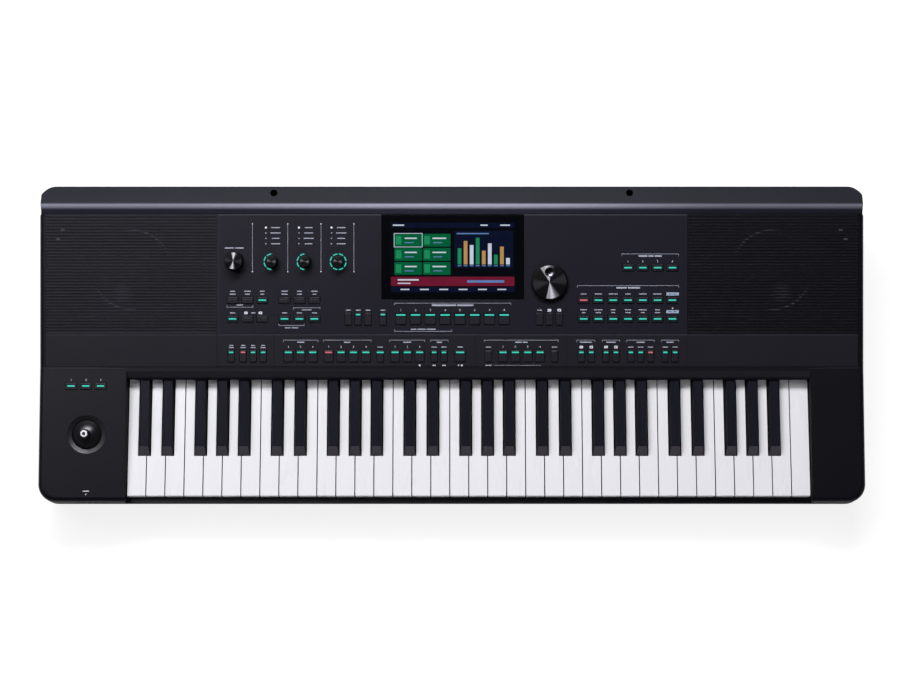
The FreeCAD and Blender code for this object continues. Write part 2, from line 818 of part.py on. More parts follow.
def rear_rail():
    end_x = half_w - rail_end_step
    outside = profile_bar(rail_section(0), -end_x, end_x).common(plan_block(0, parting_z, sky_z))
    inside = profile_bar(rail_section(wall), -end_x + wall, end_x - wall)
    inside = inside.common(plan_block(wall, parting_z, sky_z))
    rail = outside.cut(inside)
    seat_z = outside.BoundBox.ZMin
    mouth_z = rest_mouth_z()
    y = rear_y - rest_inset
    sockets, bores = [], []
    for x in (-rest_spread, rest_spread):
        low = cylinder(rest_mouth_r + rest_wall, x, y, mouth_z - rest_depth - rest_wall, seat_z + 1)
        high = cylinder(rest_mouth_r + rest_wall, x, y, seat_z, sky_z).common(outside)
        sockets.append(low.fuse(high))
        bores.append(cylinder(rest_hole_r, x, y, mouth_z - rest_depth, sky_z))
        bores.append(cylinder(rest_mouth_r, x, y, mouth_z, sky_z))
    return cut(fuse([rail] + sockets), bores)


def rest_mouth_z():
    # Lowest point of the sloping rail top round a music-rest socket: its mouth is spot-faced there.
    rear_deck_y, rear_deck_z = deck_point(deck_len, 0)
    crest_y = rear_deck_y + rail_crest_run
    crest_z = rear_deck_z + rail_crest_h
    share = (rear_y - rest_inset + rest_mouth_r - crest_y) / (rear_y - crest_y)
    return crest_z - rail_back_drop * share


# Deck plates
def board_post(u, v):
    half = post_w / 2
    return box(u - half, u + half, v - half, v + half, board_top, under_plate)


def control_panel():
    plate = box(-panel_left, panel_right, panel_v0, deck_len, under_plate, 0)
    plate = fuse([plate] + [board_post(u, v) for u, v in PANEL_POSTS])
    half_u, half_v = glass_w / 2 + plate_gap, glass_h / 2 + plate_gap
    view_u, view_v = view_w / 2, view_h / 2
    tools = [
        box(glass_u - half_u, glass_u + half_u, glass_v - half_v, deck_len + 1, -glass_t, 1),
        box(glass_u - view_u, glass_u + view_u, glass_v - view_v, glass_v + view_v, under_plate - 1, 1),
    ]
    for rows in DECK_BANKS.values():
        for row in rows:
            tools += row_holes(row)
    for u, v in knob_places():
        tools.append(cylinder(shaft_r + plate_gap, u, v, under_plate - 1, 1))
    for u, v in encoder_places():
        tools.append(cylinder(ring_r + ring_play, u, v, -ring_t, 1))
    return on_deck(cut(plate, tools))


def style_strip():
    plate = box(-deck_half + plate_gap, deck_half - plate_gap, strip_start + plate_gap, panel_v0 - plate_gap,
                under_plate, 0)
    posts = [board_post(u, strip_post_v) for u in STRIP_POSTS]
    tools = [
        box(u - strip_groove_w / 2, u + strip_groove_w / 2, 0, panel_v0, -strip_groove_t, 1)
        for u in (-panel_left, panel_right) + STRIP_GROOVES
    ]
    for rows in STRIP_BANKS.values():
        for row in rows:
            tools += row_holes(row)
    return on_deck(cut(fuse([plate] + posts), tools))


def grille(u0, u1):
    v0, v1 = panel_v0, deck_len
    plate = box(u0, u1, v0, v1, under_plate, 0)
    count = int((v1 - v0 - 2 * slot_margin) / slot_pitch)
    first = (v0 + v1) / 2 - (count - 1) * slot_pitch / 2
    slots = []
    for i in range(count):
        v = first + i * slot_pitch
        slots.append(box(u0 + slot_margin, u1 - slot_margin, v - slot_w / 2, v + slot_w / 2, under_plate - 1, 1))
    middle = (u0 + u1) / 2
    rib = box(middle - grille_rib_w / 2, middle + grille_rib_w / 2, v0, v1, under_plate, under_plate + grille_rib_t)
    return on_deck(fuse([cut(plate, slots), rib]))


# Display
def display_window():
    half_u, half_v = glass_w / 2, glass_h / 2
    return on_deck(box(glass_u - half_u, glass_u + half_u, glass_v - half_v, glass_v + half_v, -glass_t, 0))


def display_module():
    half_u = view_w / 2 + module_edge
    half_v = view_h / 2 + module_edge
    top = under_plate
    return on_deck(box(glass_u - half_u, glass_u + half_u, glass_v - half_v, glass_v + half_v, top - module_t, top))


# Speakers hang under the deck plate of the upper case
def woofer_frame(u):
    top = under_deck
    low = top - woofer_depth
    ledge_r = woofer_r - rim_w
    profile = [
        (woofer_r, top), (woofer_flange_r, top), (woofer_flange_r, top - woofer_flange_t),
        (woofer_r + rim_w, top - woofer_flange_t), (magnet_r, low), (magnet_r / 2, low),
        (magnet_r / 2, low + basket_t), (magnet_r - basket_t, low + basket_t), (ledge_r, top - woofer_flange_t),
        (ledge_r, top - rim_drop), (woofer_r, top - rim_drop),
    ]
    return on_deck(revolve(profile, u, woofer_v))


def woofer_cone(u):
    # Flat rim on the frame's ledge, half-roll surround, cone and dust cap.
    rim = under_deck - rim_drop
    rim_r = woofer_r - plate_gap
    roll = woofer_r - rim_w - surround_w / 2
    neck_r = magnet_r / 2
    cone_r = woofer_r - rim_w - surround_w
    low = rim - woofer_depth / 2
    cap = low + dust_cap_h
    profile = [
        (0, cap), (neck_r, low), (cone_r, rim + cone_t), (roll, rim + cone_t + surround_h),
        (woofer_r - rim_w, rim + cone_t), (rim_r, rim + cone_t), (rim_r, rim), (woofer_r - rim_w, rim),
        (roll, rim + surround_h), (cone_r, rim), (neck_r, low - cone_t), (0, cap - cone_t),
    ]
    return on_deck(revolve(profile, u, woofer_v))


def woofer_magnet(u):
    low = under_deck - woofer_depth
    return on_deck(revolve([(0, low), (magnet_r, low), (magnet_r, low - magnet_h), (0, low - magnet_h)], u, woofer_v))


def tweeter(u):
    top = under_deck
    profile = [
        (0, top + 1), (tweeter_r - 3, top - 1.5), (tweeter_r - 1, top - 1), (tweeter_r - 0.5, top),
        (tweeter_flange_r, top), (tweeter_flange_r, top - 2), (tweeter_r, top - 2), (tweeter_r, top - tweeter_h),
        (0, top - tweeter_h),
    ]
    return on_deck(revolve(profile, u, tweeter_v))


# Rotary controls
def encoder_places():
    return [(encoder_u + i * encoder_pitch, encoder_v) for i in range(3)]


def knob_places():
    return [(volume_u, volume_v), (dial_u, dial_v)] + encoder_places()


def knob(u, v, radius, height):
    foot = board_top + 1
    profile = [
        (0, foot), (shaft_r, foot), (shaft_r, knob_lift), (radius, knob_lift),
        (radius - knob_taper, height - knob_round), (radius - knob_taper - knob_round, height), (0, height),
    ]
    return revolve(profile, u, v)


def data_dial():
    dial = knob(dial_u, dial_v, dial_r, dial_h)
    ball_r = (dimple_r ** 2 + dimple_depth ** 2) / (2 * dimple_depth)
    ball = Part.makeSphere(ball_r, Vector(dial_u, dial_v + dimple_offset, dial_h + ball_r - dimple_depth))
    return on_deck(dial.cut(ball))


def rotary_controls():
    bodies = []
    half = pot_size / 2
    for u, v in knob_places():
        body = box(u - half, u + half, v - half, v + half, board_top, under_plate)
        bodies.append(on_deck(body.cut(cylinder(shaft_r + shaft_play, u, v, board_top + 0.5, 1))))
    return bodies


def light_rings():
    rings = []
    for u, v in encoder_places():
        ring = cylinder(ring_r, u, v, -ring_t, 0)
        rings.append(on_deck(ring.cut(cylinder(shaft_r + plate_gap, u, v, -ring_t - 1, 1))))
    return rings


# Joystick: cup and dish in the left cheek, crossed gimbal, domed cap, all in the frame of the cheek
def joystick_base():
    centre_z = -stick_drop
    lip_z = -dish_lip_drop
    lip_low = lip_z - cup_wall / 2
    lip_r = math.sqrt(dome_r ** 2 - (lip_low - centre_z) ** 2) + dome_play
    low = centre_z - cup_depth
    outer = dish_r
    inner = outer - cup_wall
    flange = dish_r + cup_wall * 2
    under_cheek = -wall
    profile = [
        (0, low - cup_wall), (outer, low - cup_wall), (outer, under_cheek - cup_wall), (flange, under_cheek - cup_wall),
        (flange, under_cheek), (outer, under_cheek), (outer, 0), (lip_r, lip_z), (lip_r, lip_low),
        (inner, under_cheek - cup_wall), (inner, low), (0, low),
    ]
    cup = revolve(profile, stick_x, stick_y)
    ears = []
    for side in (-1, 1):
        inner_x = stick_x + side * (yoke_half + ear_gap)
        outer_x = inner_x + side * ear_t
        x0, x1 = min(inner_x, outer_x), max(inner_x, outer_x)
        ears.append(box(x0, x1, stick_y - 4, stick_y + 4, low - 0.5, centre_z + 4))
    pin_hole = rod_x(gimbal_pin_r + gimbal_play, stick_y, centre_z, stick_x - yoke_half - ear_gap - ear_t - 1,
                     stick_x + yoke_half + ear_gap + ear_t + 1)
    return on_cheek(cup.fuse(Part.makeCompound([ear.cut(pin_hole) for ear in ears])).removeSplitter())


def joystick_yoke():
    z = -stick_drop
    inner = yoke_half - yoke_bar
    frame = box(stick_x - yoke_half, stick_x + yoke_half, stick_y - yoke_half, stick_y + yoke_half,
                z - yoke_h / 2, z + yoke_h / 2)
    hole = box(stick_x - inner, stick_x + inner, stick_y - inner, stick_y + inner, z - yoke_h, z + yoke_h)
    reach = yoke_half + ear_gap + ear_t
    pins = [
        rod_x(gimbal_pin_r, stick_y, z, stick_x - reach, stick_x - inner),
        rod_x(gimbal_pin_r, stick_y, z, stick_x + inner, stick_x + reach),
    ]
    cross = rod_y(gimbal_pin_r + gimbal_play, stick_x, z, stick_y - yoke_half - 1, stick_y + yoke_half + 1)
    return on_cheek(fuse([frame.cut(hole)] + pins).cut(cross))


def joystick_cap():
    z = -stick_drop
    centre = Vector(stick_x, stick_y, z)
    reach = 2 * dome_r
    slab = box(stick_x - reach, stick_x + reach, stick_y - reach, stick_y + reach, z - dome_skirt, z + reach)
    shell = Part.makeSphere(dome_r, centre).common(slab).cut(Part.makeSphere(dome_r - dome_t, centre))
    block_half = yoke_half - yoke_bar - ear_gap
    top = z + stick_top_h
    dome_top = z + dome_r
    grip = revolve(
        [(0, dome_top - 1), (stick_r + 1, dome_top - 1), (stick_r, dome_top + 3), (stick_r - 0.7, top - 1),
         (stick_r - 1.7, top), (0, top)],
        stick_x, stick_y,
    )
    stem = box(stick_x - 3, stick_x + 3, stick_y - 3, stick_y + 3, z, dome_top - dome_t / 2)
    block = box(stick_x - block_half, stick_x + block_half, stick_y - block_half, stick_y + block_half,
                z - yoke_h / 2, z + yoke_h / 2)
    pin = rod_y(gimbal_pin_r, stick_x, z, stick_y - yoke_half, stick_y + yoke_half)
    return on_cheek(fuse([shell, grip, stem, block, pin]))


# Sockets
def socket_opening():
    return box(socket_plate_x - socket_plate_w / 2, socket_plate_x + socket_plate_w / 2, rear_y - wall - 1, rear_y + 1,
               socket_plate_z - socket_plate_h / 2, socket_plate_z + socket_plate_h / 2)


def jack_places():
    return [jack_x + i * jack_pitch for i in range(jack_count)]


def port_boxes(grow, y0, y1):
    half_a, half_b = usb_a_w / 2 + grow, usb_b_w / 2 + grow
    high_a, high_b = usb_a_h / 2 + grow, usb_b_h / 2 + grow
    return [
        box(usb_a_x - half_a, usb_a_x + half_a, y0, y1, socket_plate_z - high_a, socket_plate_z + high_a),
        box(usb_b_x - half_b, usb_b_x + half_b, y0, y1, socket_plate_z - high_b, socket_plate_z + high_b),
    ]


def plate_face_y():
    return rear_y - 1.0


def jack_plate():
    half_w_plate = socket_plate_w / 2 - plate_gap
    half_h_plate = socket_plate_h / 2 - plate_gap
    inner_y = rear_y - wall
    plate = box(socket_plate_x - half_w_plate, socket_plate_x + half_w_plate, inner_y - socket_flange_t, plate_face_y(),
                socket_plate_z - half_h_plate, socket_plate_z + half_h_plate)
    flange = box(socket_plate_x - half_w_plate - socket_flange, socket_plate_x + half_w_plate + socket_flange,
                 inner_y - socket_flange_t, inner_y, socket_plate_z - half_h_plate - socket_flange,
                 socket_plate_z + half_h_plate + socket_flange)
    low_y = inner_y - socket_flange_t - 1
    holes = [rod_y(jack_barrel_r + jack_play, x, socket_plate_z, low_y, rear_y + 1) for x in jack_places()]
    holes.append(rod_y(jack_barrel_r + jack_play, dc_x, socket_plate_z, low_y, rear_y + 1))
    holes.append(rod_y(switch_r + plate_gap, switch_x, socket_plate_z, low_y, rear_y + 1))
    holes += port_boxes(usb_wall + jack_play, low_y, rear_y + 1)
    return cut(fuse([plate, flange]), holes)


def jack_sockets():
    back_y = rear_y - wall - socket_flange_t
    half = jack_body / 2
    sockets = []
    for x in jack_places():
        body = box(x - half, x + half, back_y - jack_body_len, back_y, socket_plate_z - half, socket_plate_z + half)
        barrel = rod_y(jack_barrel_r, x, socket_plate_z, back_y - 1, rear_y - 0.5)
        sockets.append(body.fuse(barrel).cut(rod_y(jack_bore_r, x, socket_plate_z, rear_y - jack_depth, rear_y)))
    barrel = rod_y(jack_barrel_r, phones_x, parting_z, front_y + 0.5, front_y + wall + 1)
    sockets.append(phones_body().fuse(barrel).cut(rod_y(jack_bore_r, phones_x, parting_z, front_y, front_y + jack_depth)))
    return sockets


def phones_body():
    half = jack_body / 2
    inner_y = front_y + wall
    return box(phones_x - half, phones_x + half, inner_y, inner_y + jack_body_len, parting_z - half, parting_z + half)


def phones_hole():
    return rod_y(jack_barrel_r + jack_play, phones_x, parting_z, front_y - 1, front_y + wall + 1)


def port_sockets():
    back_y = rear_y - wall - socket_flange_t
    shells = port_boxes(usb_wall, rear_y - usb_depth - usb_wall, rear_y - 0.5)
    cores = port_boxes(0, rear_y - usb_depth, rear_y)
    ports = [shell.cut(core) for shell, core in zip(shells, cores)]
    half = jack_body / 2
    body = box(dc_x - half, dc_x + half, back_y - jack_depth, back_y, socket_plate_z - half, socket_plate_z + half)
    inlet = body.fuse(rod_y(jack_barrel_r, dc_x, socket_plate_z, back_y - 1, rear_y - 0.5))
    inlet = inlet.cut(rod_y(dc_bore_r, dc_x, socket_plate_z, rear_y - jack_depth, rear_y))
    pin = rod_y(dc_pin_r, dc_x, socket_plate_z, rear_y - jack_depth - 1, rear_y - 2 * wall)
    switch_half = switch_r + wall
    switch_back = back_y - switch_len
    housing = box(switch_x - switch_half, switch_x + switch_half, switch_back, back_y,
                  socket_plate_z - switch_half, socket_plate_z + switch_half)
    housing = housing.cut(rod_y(switch_r + plate_gap, switch_x, socket_plate_z, switch_back + 1, back_y + 1))
    return ports + [inlet.fuse(pin), housing]


def power_switch():
    back_y = rear_y - wall - socket_flange_t
    return rod_y(switch_r, switch_x, socket_plate_z, back_y - switch_len / 2, rear_y - switch_proud)


# Key frame, pivot rod, felts and contacts
def rod_rib_x():
    last = key_x0 + octaves * octave_w + tail_x(0) + tail_w / 2 + rod_rib_t
    return [key_x0 + i * octave_w for i in range(octaves)] + [last]


def front_felt_z():
    # Felt top, just under the key bottoms at full travel.
    drop = (pivot_y - front_felt_y()) * math.sin(math.radians(key_angle))
    return white_bottom_z - drop - felt_play


def front_felt_y():
    return white_front_y + felt_w


def rest_felt_y():
    return pivot_y + pivot_r + pivot_play + tail_roof + key_gap


def key_frame():
    x0, x1 = key_x0, key_x0 + key_span
    y0 = front_rail_y
    y1 = rest_felt_y() + comb_bar_w
    plate = box(x0, x1, y0, y1, frame_z, frame_z + frame_t)
    felt_y = front_felt_y()
    front = box(x0, x1, felt_y - felt_w / 2, felt_y + felt_w / 2, frame_z, front_felt_z() - felt_t)
    rear = box(x0, x1, rest_felt_y(), y1, frame_z, tail_z0 - felt_play - felt_t)
    ribs = [
        box(x - rod_rib_t / 2, x + rod_rib_t / 2, pivot_y - 3 * pivot_r, y1, frame_z, pivot_z + 2 * pivot_r)
        for x in rod_rib_x()
    ]
    board_z = frame_z + frame_t
    ledger = box(x0, x1, contact_y - contact_w / 2, contact_y + contact_w / 2, frame_z, board_z + frame_side)
    frame = fuse([plate, front, rear, ledger] + ribs)
    return frame.cut(rod_x(pivot_r + screw_play, pivot_y, pivot_z, x0 - 10, x1 + 10))


def key_pivot_rod():
    ribs = rod_rib_x()
    return rod_x(pivot_r, pivot_y, pivot_z, ribs[0] - rod_rib_t, ribs[-1] + rod_rib_t)


def key_felts():
    x0, x1 = key_x0, key_x0 + key_span
    felt_y = front_felt_y()
    front = box(x0, x1, felt_y - felt_w / 2, felt_y + felt_w / 2, front_felt_z() - felt_t, front_felt_z())
    spans = rod_rib_x()
    felts = [front]
    for left, right in zip(spans[:-1], spans[1:]):
        felts.append(
            box(left + rod_rib_t, right - rod_rib_t, rest_felt_y(), rest_felt_y() + comb_bar_w,
                tail_z0 - felt_play - felt_t, tail_z0 - felt_play)
        )
    return felts


def board_level():
    return frame_z + frame_t + frame_side


def contact_board():
    half = contact_w / 2
    return box(key_x0, key_x0 + key_span, contact_y - half, contact_y + half, board_level(), board_level() + board_t)


def contact_rubbers():
    # One strip per octave with a dome under every key.
    base = board_level() + board_t
    drop = (pivot_y - contact_y + dome_size) * math.sin(math.radians(key_angle))
    top = min(tail_z0, white_top_z - neck_h) - drop - 2 * felt_play
    strips = []
    for octave in range(octaves):
        octave_x = key_x0 + octave * octave_w
        notes = 13 if octave == octaves - 1 else 12
        strip = box(octave_x + key_gap, octave_x + tail_x(notes - 1) + octave_w / 24 - key_gap,
                    contact_y - rubber_w / 2, contact_y + rubber_w / 2, base, base + rubber_t)
        domes = []
        for note in range(notes):
            x = octave_x + tail_x(note)
            half = dome_size / 2
            domes.append(box(x - half, x + half, contact_y - half, contact_y + half, base, top))
        strips.append(fuse([strip] + domes))
    return strips


# Circuit boards under the panel, under the strip and on the floor of the case
def circuit_boards():
    top, low = board_top, board_top - board_t
    edge = ledge + 2
    left, right = -panel_left + edge, panel_right - edge
    lower_v = panel_v0 + edge
    module_v = glass_v - view_h / 2 - module_edge
    module_u = view_w / 2 + module_edge + 2
    panel_board = fuse([
        box(left, right, lower_v, module_v - 1, low, top),
        box(left, glass_u - module_u, lower_v, volume_v + pot_size, low, top),
        box(glass_u + module_u, right, lower_v, PART_ROW_V + pot_size, low, top),
    ])
    strip_board = box(left, right, strip_start + edge / 2, panel_v0 - edge, low, top)
    main_board = box(main_board_x - main_board_w / 2, main_board_x + main_board_w / 2,
                     main_board_y - main_board_d / 2, main_board_y + main_board_d / 2,
                     main_board_z, main_board_z + board_t)
    return [on_deck(panel_board), on_deck(strip_board), main_board]


# Write every sub-part
save("lower_case", lower_case())
save("upper_case", upper_case())
save("rear_rail", rear_rail())
save("control_panel", control_panel())
save("style_strip", style_strip())
save("left_grille", grille(-deck_half + plate_gap, -panel_left - plate_gap))
save("right_grille", grille(panel_right + plate_gap, deck_half - plate_gap))
save("display_window", display_window())
save("display_module", display_module())
save("key_frame", key_frame())
save("key_pivot_rod", key_pivot_rod())
save("key_felts", key_felts())
save("contact_board", contact_board())
save("contact_rubbers", contact_rubbers())
save("circuit_boards", circuit_boards())
save("woofer_frames", [woofer_frame(-woofer_u), woofer_frame(woofer_u)])
save("woofer_cones", [woofer_cone(-woofer_u), woofer_cone(woofer_u)])
save("woofer_magnets", [woofer_magnet(-woofer_u), woofer_magnet(woofer_u)])
save("tweeters", [tweeter(-tweeter_u), tweeter(tweeter_u)])
save("jack_plate", jack_plate())
save("jack_sockets", jack_sockets())
save("port_sockets", port_sockets())
save("feet", feet())
save("case_screws", case_screws())
save("rotary_controls", rotary_controls())
save("light_rings", light_rings())
save("joystick_base", joystick_base())
save("joystick_yoke", joystick_yoke())
save("joystick_cap", joystick_cap())
save("volume_knob", on_deck(knob(volume_u, volume_v, volume_r, volume_h)))
for number, (knob_u, knob_v) in enumerate(encoder_places(), 1):
    save("encoder_knob_%d" % number, on_deck(knob(knob_u, knob_v, encoder_r, encoder_h)))
save("data_dial", data_dial())
save("power_switch", power_switch())
for bank_name, bank in button_banks().items():
    save(bank_name, bank)
save("assign_buttons", on_cheek(button_row(ASSIGN_ROW)))
for octave_index in range(octaves):
    for comb_name, comb_solid in key_combs(octave_index).items():
        save("octave_%d_%s" % (octave_index + 1, comb_name), comb_solid)
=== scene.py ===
import json
import math

import bpy
from mathutils import Matrix, Vector

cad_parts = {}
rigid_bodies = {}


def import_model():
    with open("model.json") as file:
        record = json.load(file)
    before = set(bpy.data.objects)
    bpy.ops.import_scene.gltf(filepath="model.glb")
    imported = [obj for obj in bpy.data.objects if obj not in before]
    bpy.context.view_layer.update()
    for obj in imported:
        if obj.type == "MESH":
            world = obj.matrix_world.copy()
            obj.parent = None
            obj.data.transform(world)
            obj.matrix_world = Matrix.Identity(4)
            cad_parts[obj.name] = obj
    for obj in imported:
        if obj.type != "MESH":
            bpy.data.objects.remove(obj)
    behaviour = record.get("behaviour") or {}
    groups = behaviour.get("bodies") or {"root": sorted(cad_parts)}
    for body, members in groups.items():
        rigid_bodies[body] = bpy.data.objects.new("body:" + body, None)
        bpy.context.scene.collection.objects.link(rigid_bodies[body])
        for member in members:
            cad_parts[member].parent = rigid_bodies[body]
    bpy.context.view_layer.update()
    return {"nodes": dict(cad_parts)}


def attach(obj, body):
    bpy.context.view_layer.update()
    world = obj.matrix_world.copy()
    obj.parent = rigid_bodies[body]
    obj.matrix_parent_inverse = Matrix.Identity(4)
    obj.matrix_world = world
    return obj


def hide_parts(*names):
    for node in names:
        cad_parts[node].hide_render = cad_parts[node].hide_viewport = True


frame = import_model()
nodes = frame["nodes"]
scene = bpy.context.scene
scene.view_settings.view_transform = "Standard"

# Places on the deck and on the cheeks are in millimetres: u to the right, v up the slope, w out of it.

MM = 0.001
DECK_EDGE = Vector((0.0, -29.007, 90.0)) * MM
DECK_TILT = math.radians(10.0)
DECK = Matrix.Translation(DECK_EDGE) @ Matrix.Rotation(DECK_TILT, 4, "X")
CHEEK_TILT = math.atan2(14.0, 165.0)
CHEEK = Matrix.Translation(DECK_EDGE) @ Matrix.Rotation(CHEEK_TILT, 4, "X")
STICK = Vector((-451.3, -82.7, 0.0)) * MM
DRIVER = DECK @ (Vector((397.0, 121.4, 0.0)) * MM)
CAP_TOP = 1.6
PRINT_T = 0.06
ARROW_R = 1.3

# Places that the paints go by are in metres, as Object coordinates are.

# The key well and the lip over it, where the case gets a painted highlight and painted shade.
WELL_MIDDLE, WELL_HALF = 0.021, 0.4238
LIP_REAR_Y, LIP_FRONT_Y, LIP_LOW_Z = -0.0332, -0.0402, 0.0805
PANEL_REAR_V, PANEL_LEFT_U = 0.1897, -0.2904
STRIP_REAR_V, STRIP_LEFT_U = 0.0412, -0.5034
# How far in from the rear and left edges of panel and strip the painted highlight starts and ends.
EDGE_HIGHLIGHT_FROM, EDGE_HIGHLIGHT_TO = 0.0014, 0.0006
# Half the width over which the grilles' painted shade falls off.
FALLOFF_HALF = 0.30
# Where the painted glints on the grille mesh lie: the driver's rim, the cone and the tweeters.
DRIVER_RIM_R = 0.0491
CONE_GLINT = (0.012, -0.029)
TWEETER_GLINTS = ((0.085, 0.04945), (0.091, 0.03805))
# Heights of the keys' top rims, and the depth below them over which their sides are painted dark as shade.
WHITE_RIM_Z, BLACK_RIM_Z, FLANK_FADE = 0.068, 0.087, 0.007
# Where the rail's painted ridge highlight, its paler front side and its painted falloff of light lie.
RIDGE_FRONT_Y, RIDGE_REAR_Y, RAIL_SLOPE_Y = (0.1630, 0.1668), (0.1711, 0.1678), (0.1662, 0.1622)
FALLOFF_LEFT_X, FALLOFF_RIGHT_X = (-0.42, -0.05), (0.36, 0.05)
GRAIN_DEPTH = 0.00004

# A distance too small to see, which keeps a division off zero; the features to the metre of the cloud in moulded
# plastic; the darkest black.

TINY = 0.00001
CLOUD = 9.0
BLACK = (0.003, 0.003, 0.004, 1.0)


def ink(red, green, blue):
    """A colour as it is seen on a screen, in the linear values that a shader takes."""
    def linear(level):
        level = level / 255.0
        return level / 12.92 if level <= 0.04045 else ((level + 0.055) / 1.055) ** 2.4
    return (linear(red), linear(green), linear(blue), 1.0)


def dimmed(colour, share):
    """A share of a colour's light."""
    return tuple(level * share for level in colour[:3]) + (1.0,)


# Shaders

class Wire:
    """One output socket of a shader tree, so that shader maths reads as plain expressions."""

    def __init__(self, tree, socket):
        self.tree = tree
        self.socket = socket

    def node(self, kind, settings=None, inputs=None, output=0):
        """The output of a new node: its settings are set first, then its sockets get values or links."""
        made = self.tree.nodes.new(kind)
        for name, value in (settings or {}).items():
            setattr(made, name, value)
        for name, value in (inputs or {}).items():
            if isinstance(value, Wire):
                self.tree.links.new(value.socket, made.inputs[name])
            else:
                made.inputs[name].default_value = value
        return Wire(self.tree, made.outputs[output])

    def math(self, operation, *values):
        return self.node("ShaderNodeMath", {"operation": operation}, dict(enumerate(values)))

    def __add__(self, other):
        return self.math("ADD", self, other)

    def __radd__(self, other):
        return self.math("ADD", other, self)

    def __sub__(self, other):
        return self.math("SUBTRACT", self, other)

    def __rsub__(self, other):
        return self.math("SUBTRACT", other, self)

    def __mul__(self, other):
        return self.math("MULTIPLY", self, other)

    def __rmul__(self, other):
        return self.math("MULTIPLY", other, self)

    def __truediv__(self, other):
        return self.math("DIVIDE", self, other)

    def __rtruediv__(self, other):
        return self.math("DIVIDE", other, self)

    def __pow__(self, other):
        return self.math("POWER", self, other)

    def __rpow__(self, other):
        return self.math("POWER", other, self)

    def __abs__(self):
        return self.math("ABSOLUTE", self)

    def sine(self):
        return self.math("SINE", self)

    def noise(self, scale, detail=2.0):
        """Noise from 0 to 1 over this place; scale counts features to the metre."""
        return self.node("ShaderNodeTexNoise", None, {"Vector": self, "Scale": scale, "Detail": detail})

    def moved(self, centre, stretch=(1.0, 1.0, 1.0), tilt=0.0):
        """This place, measured from a centre, turned back by a tilt about X and drawn out by a stretch."""
        settings = {"vector_type": "TEXTURE"}
        inputs = {"Location": centre, "Rotation": (tilt, 0.0, 0.0), "Scale": stretch}
        return self.node("ShaderNodeMapping", settings, {"Vector": self, **inputs})

    def stretched(self, *stretch):
        """This place with its pattern drawn out along X, Y and Z."""
        return self.moved((0.0, 0.0, 0.0), stretch)

    def parts(self):
        """The X, Y and Z of a place."""
        split = self.node("ShaderNodeSeparateXYZ", None, {"Vector": self})
        return [Wire(self.tree, out) for out in split.socket.node.outputs]

    def band(self, low, high, to_low=0.0, to_high=1.0):
        """This value carried smoothly from low..high to to_low..to_high and held there."""
        inputs = {"Value": self, "From Min": low, "From Max": high, "To Min": to_low, "To Max": to_high}
        return self.node("ShaderNodeMapRange", {"interpolation_type": "SMOOTHSTEP"}, inputs)

    def blend(self, first, second):
        """A colour that goes from first to second as this value goes from 0 to 1."""
        factor, from_colour, to_colour, result = 0, 6, 7, 2
        inputs = {factor: self, from_colour: first, to_colour: second}
        return self.node("ShaderNodeMix", {"data_type": "RGBA"}, inputs, result)

    def bump(self, strength, distance):
        return self.node("ShaderNodeBump", None, {"Strength": strength, "Distance": distance, "Height": self})


def material(name, paint, **settings):
    """A material whose Principled inputs come from paint(place) and from plain settings."""
    made = bpy.data.materials.new(name)
    made.use_nodes = True
    tree = made.node_tree
    surface = tree.nodes["Principled BSDF"]
    coordinates = tree.nodes.new("ShaderNodeTexCoord")
    inputs = paint(Wire(tree, coordinates.outputs["Object"]))
    for socket, value in {**settings, **inputs}.items():
        socket = socket.replace("_", " ")
        if isinstance(value, Wire):
            tree.links.new(value.socket, surface.inputs[socket])
        else:
            surface.inputs[socket].default_value = value
    return made


def moulded(dark, light, rough, grain=1400.0, relief=0.12):
    """Moulded plastic: slow cloud in its tone, fine grain in its gloss and surface."""
    def paint(place):
        cloud = place.noise(CLOUD)
        fleck = place.noise(grain)
        return {
            "Base Color": (cloud * 0.7 + fleck * 0.3).blend(dark, light),
            "Roughness": rough - 0.05 + fleck * 0.1,
            "Normal": fleck.bump(relief, GRAIN_DEPTH),
        }
    return paint


def case_skin(dark, light, lip):
    """The case: moulded plastic with a painted highlight along the lip that slopes down over the keys, and painted
    shade, dark and dull, on the walls of the key well.
    """
    def paint(place):
        inputs = moulded(dark, light, 0.38)(place)
        x, y, z = place.parts()
        aside = abs(x - WELL_MIDDLE)
        ahead = y.band(LIP_REAR_Y + 0.0001, LIP_REAR_Y - 0.0001)
        over_keys = y.band(LIP_FRONT_Y - 0.001, LIP_FRONT_Y + 0.001) * z.band(LIP_LOW_Z - 0.001, LIP_LOW_Z + 0.001)
        # Painted highlight: the lip over the keys is painted paler.
        lip_highlight_mask = ahead * over_keys * aside.band(WELL_HALF, WELL_HALF - 0.0003)
        # Painted shade: the side walls of the key well are painted near black and made dull.
        from_inside = aside.band(WELL_HALF - 0.0004, WELL_HALF - 0.0002)
        to_outside = aside.band(WELL_HALF + 0.0008, WELL_HALF + 0.0005)
        wall = ahead * from_inside * to_outside
        return {
            **inputs,
            "Base Color": wall.blend(lip_highlight_mask.blend(inputs["Base Color"], lip), ink(3, 3, 4)),
            "Roughness": inputs["Roughness"] + wall * 0.6,
        }
    return paint


def edged(dark, light, shine, rear, left):
    """Panel and strip: moulded plastic with a thin painted highlight along their rear and left edges."""
    def paint(place):
        inputs = moulded(dark, light, 0.38)(place)
        u, v, _ = place.moved(DECK_EDGE, tilt=DECK_TILT).parts()
        # Painted highlight: a thin paler line along the rear edge and, fainter, along the left edge.
        edge_highlight = v.band(rear - EDGE_HIGHLIGHT_FROM, rear - EDGE_HIGHLIGHT_TO) + u.band(left + EDGE_HIGHLIGHT_FROM, left + EDGE_HIGHLIGHT_TO, 0.0, 0.4)
        return {**inputs, "Base Color": edge_highlight.blend(inputs["Base Color"], shine)}
    return paint


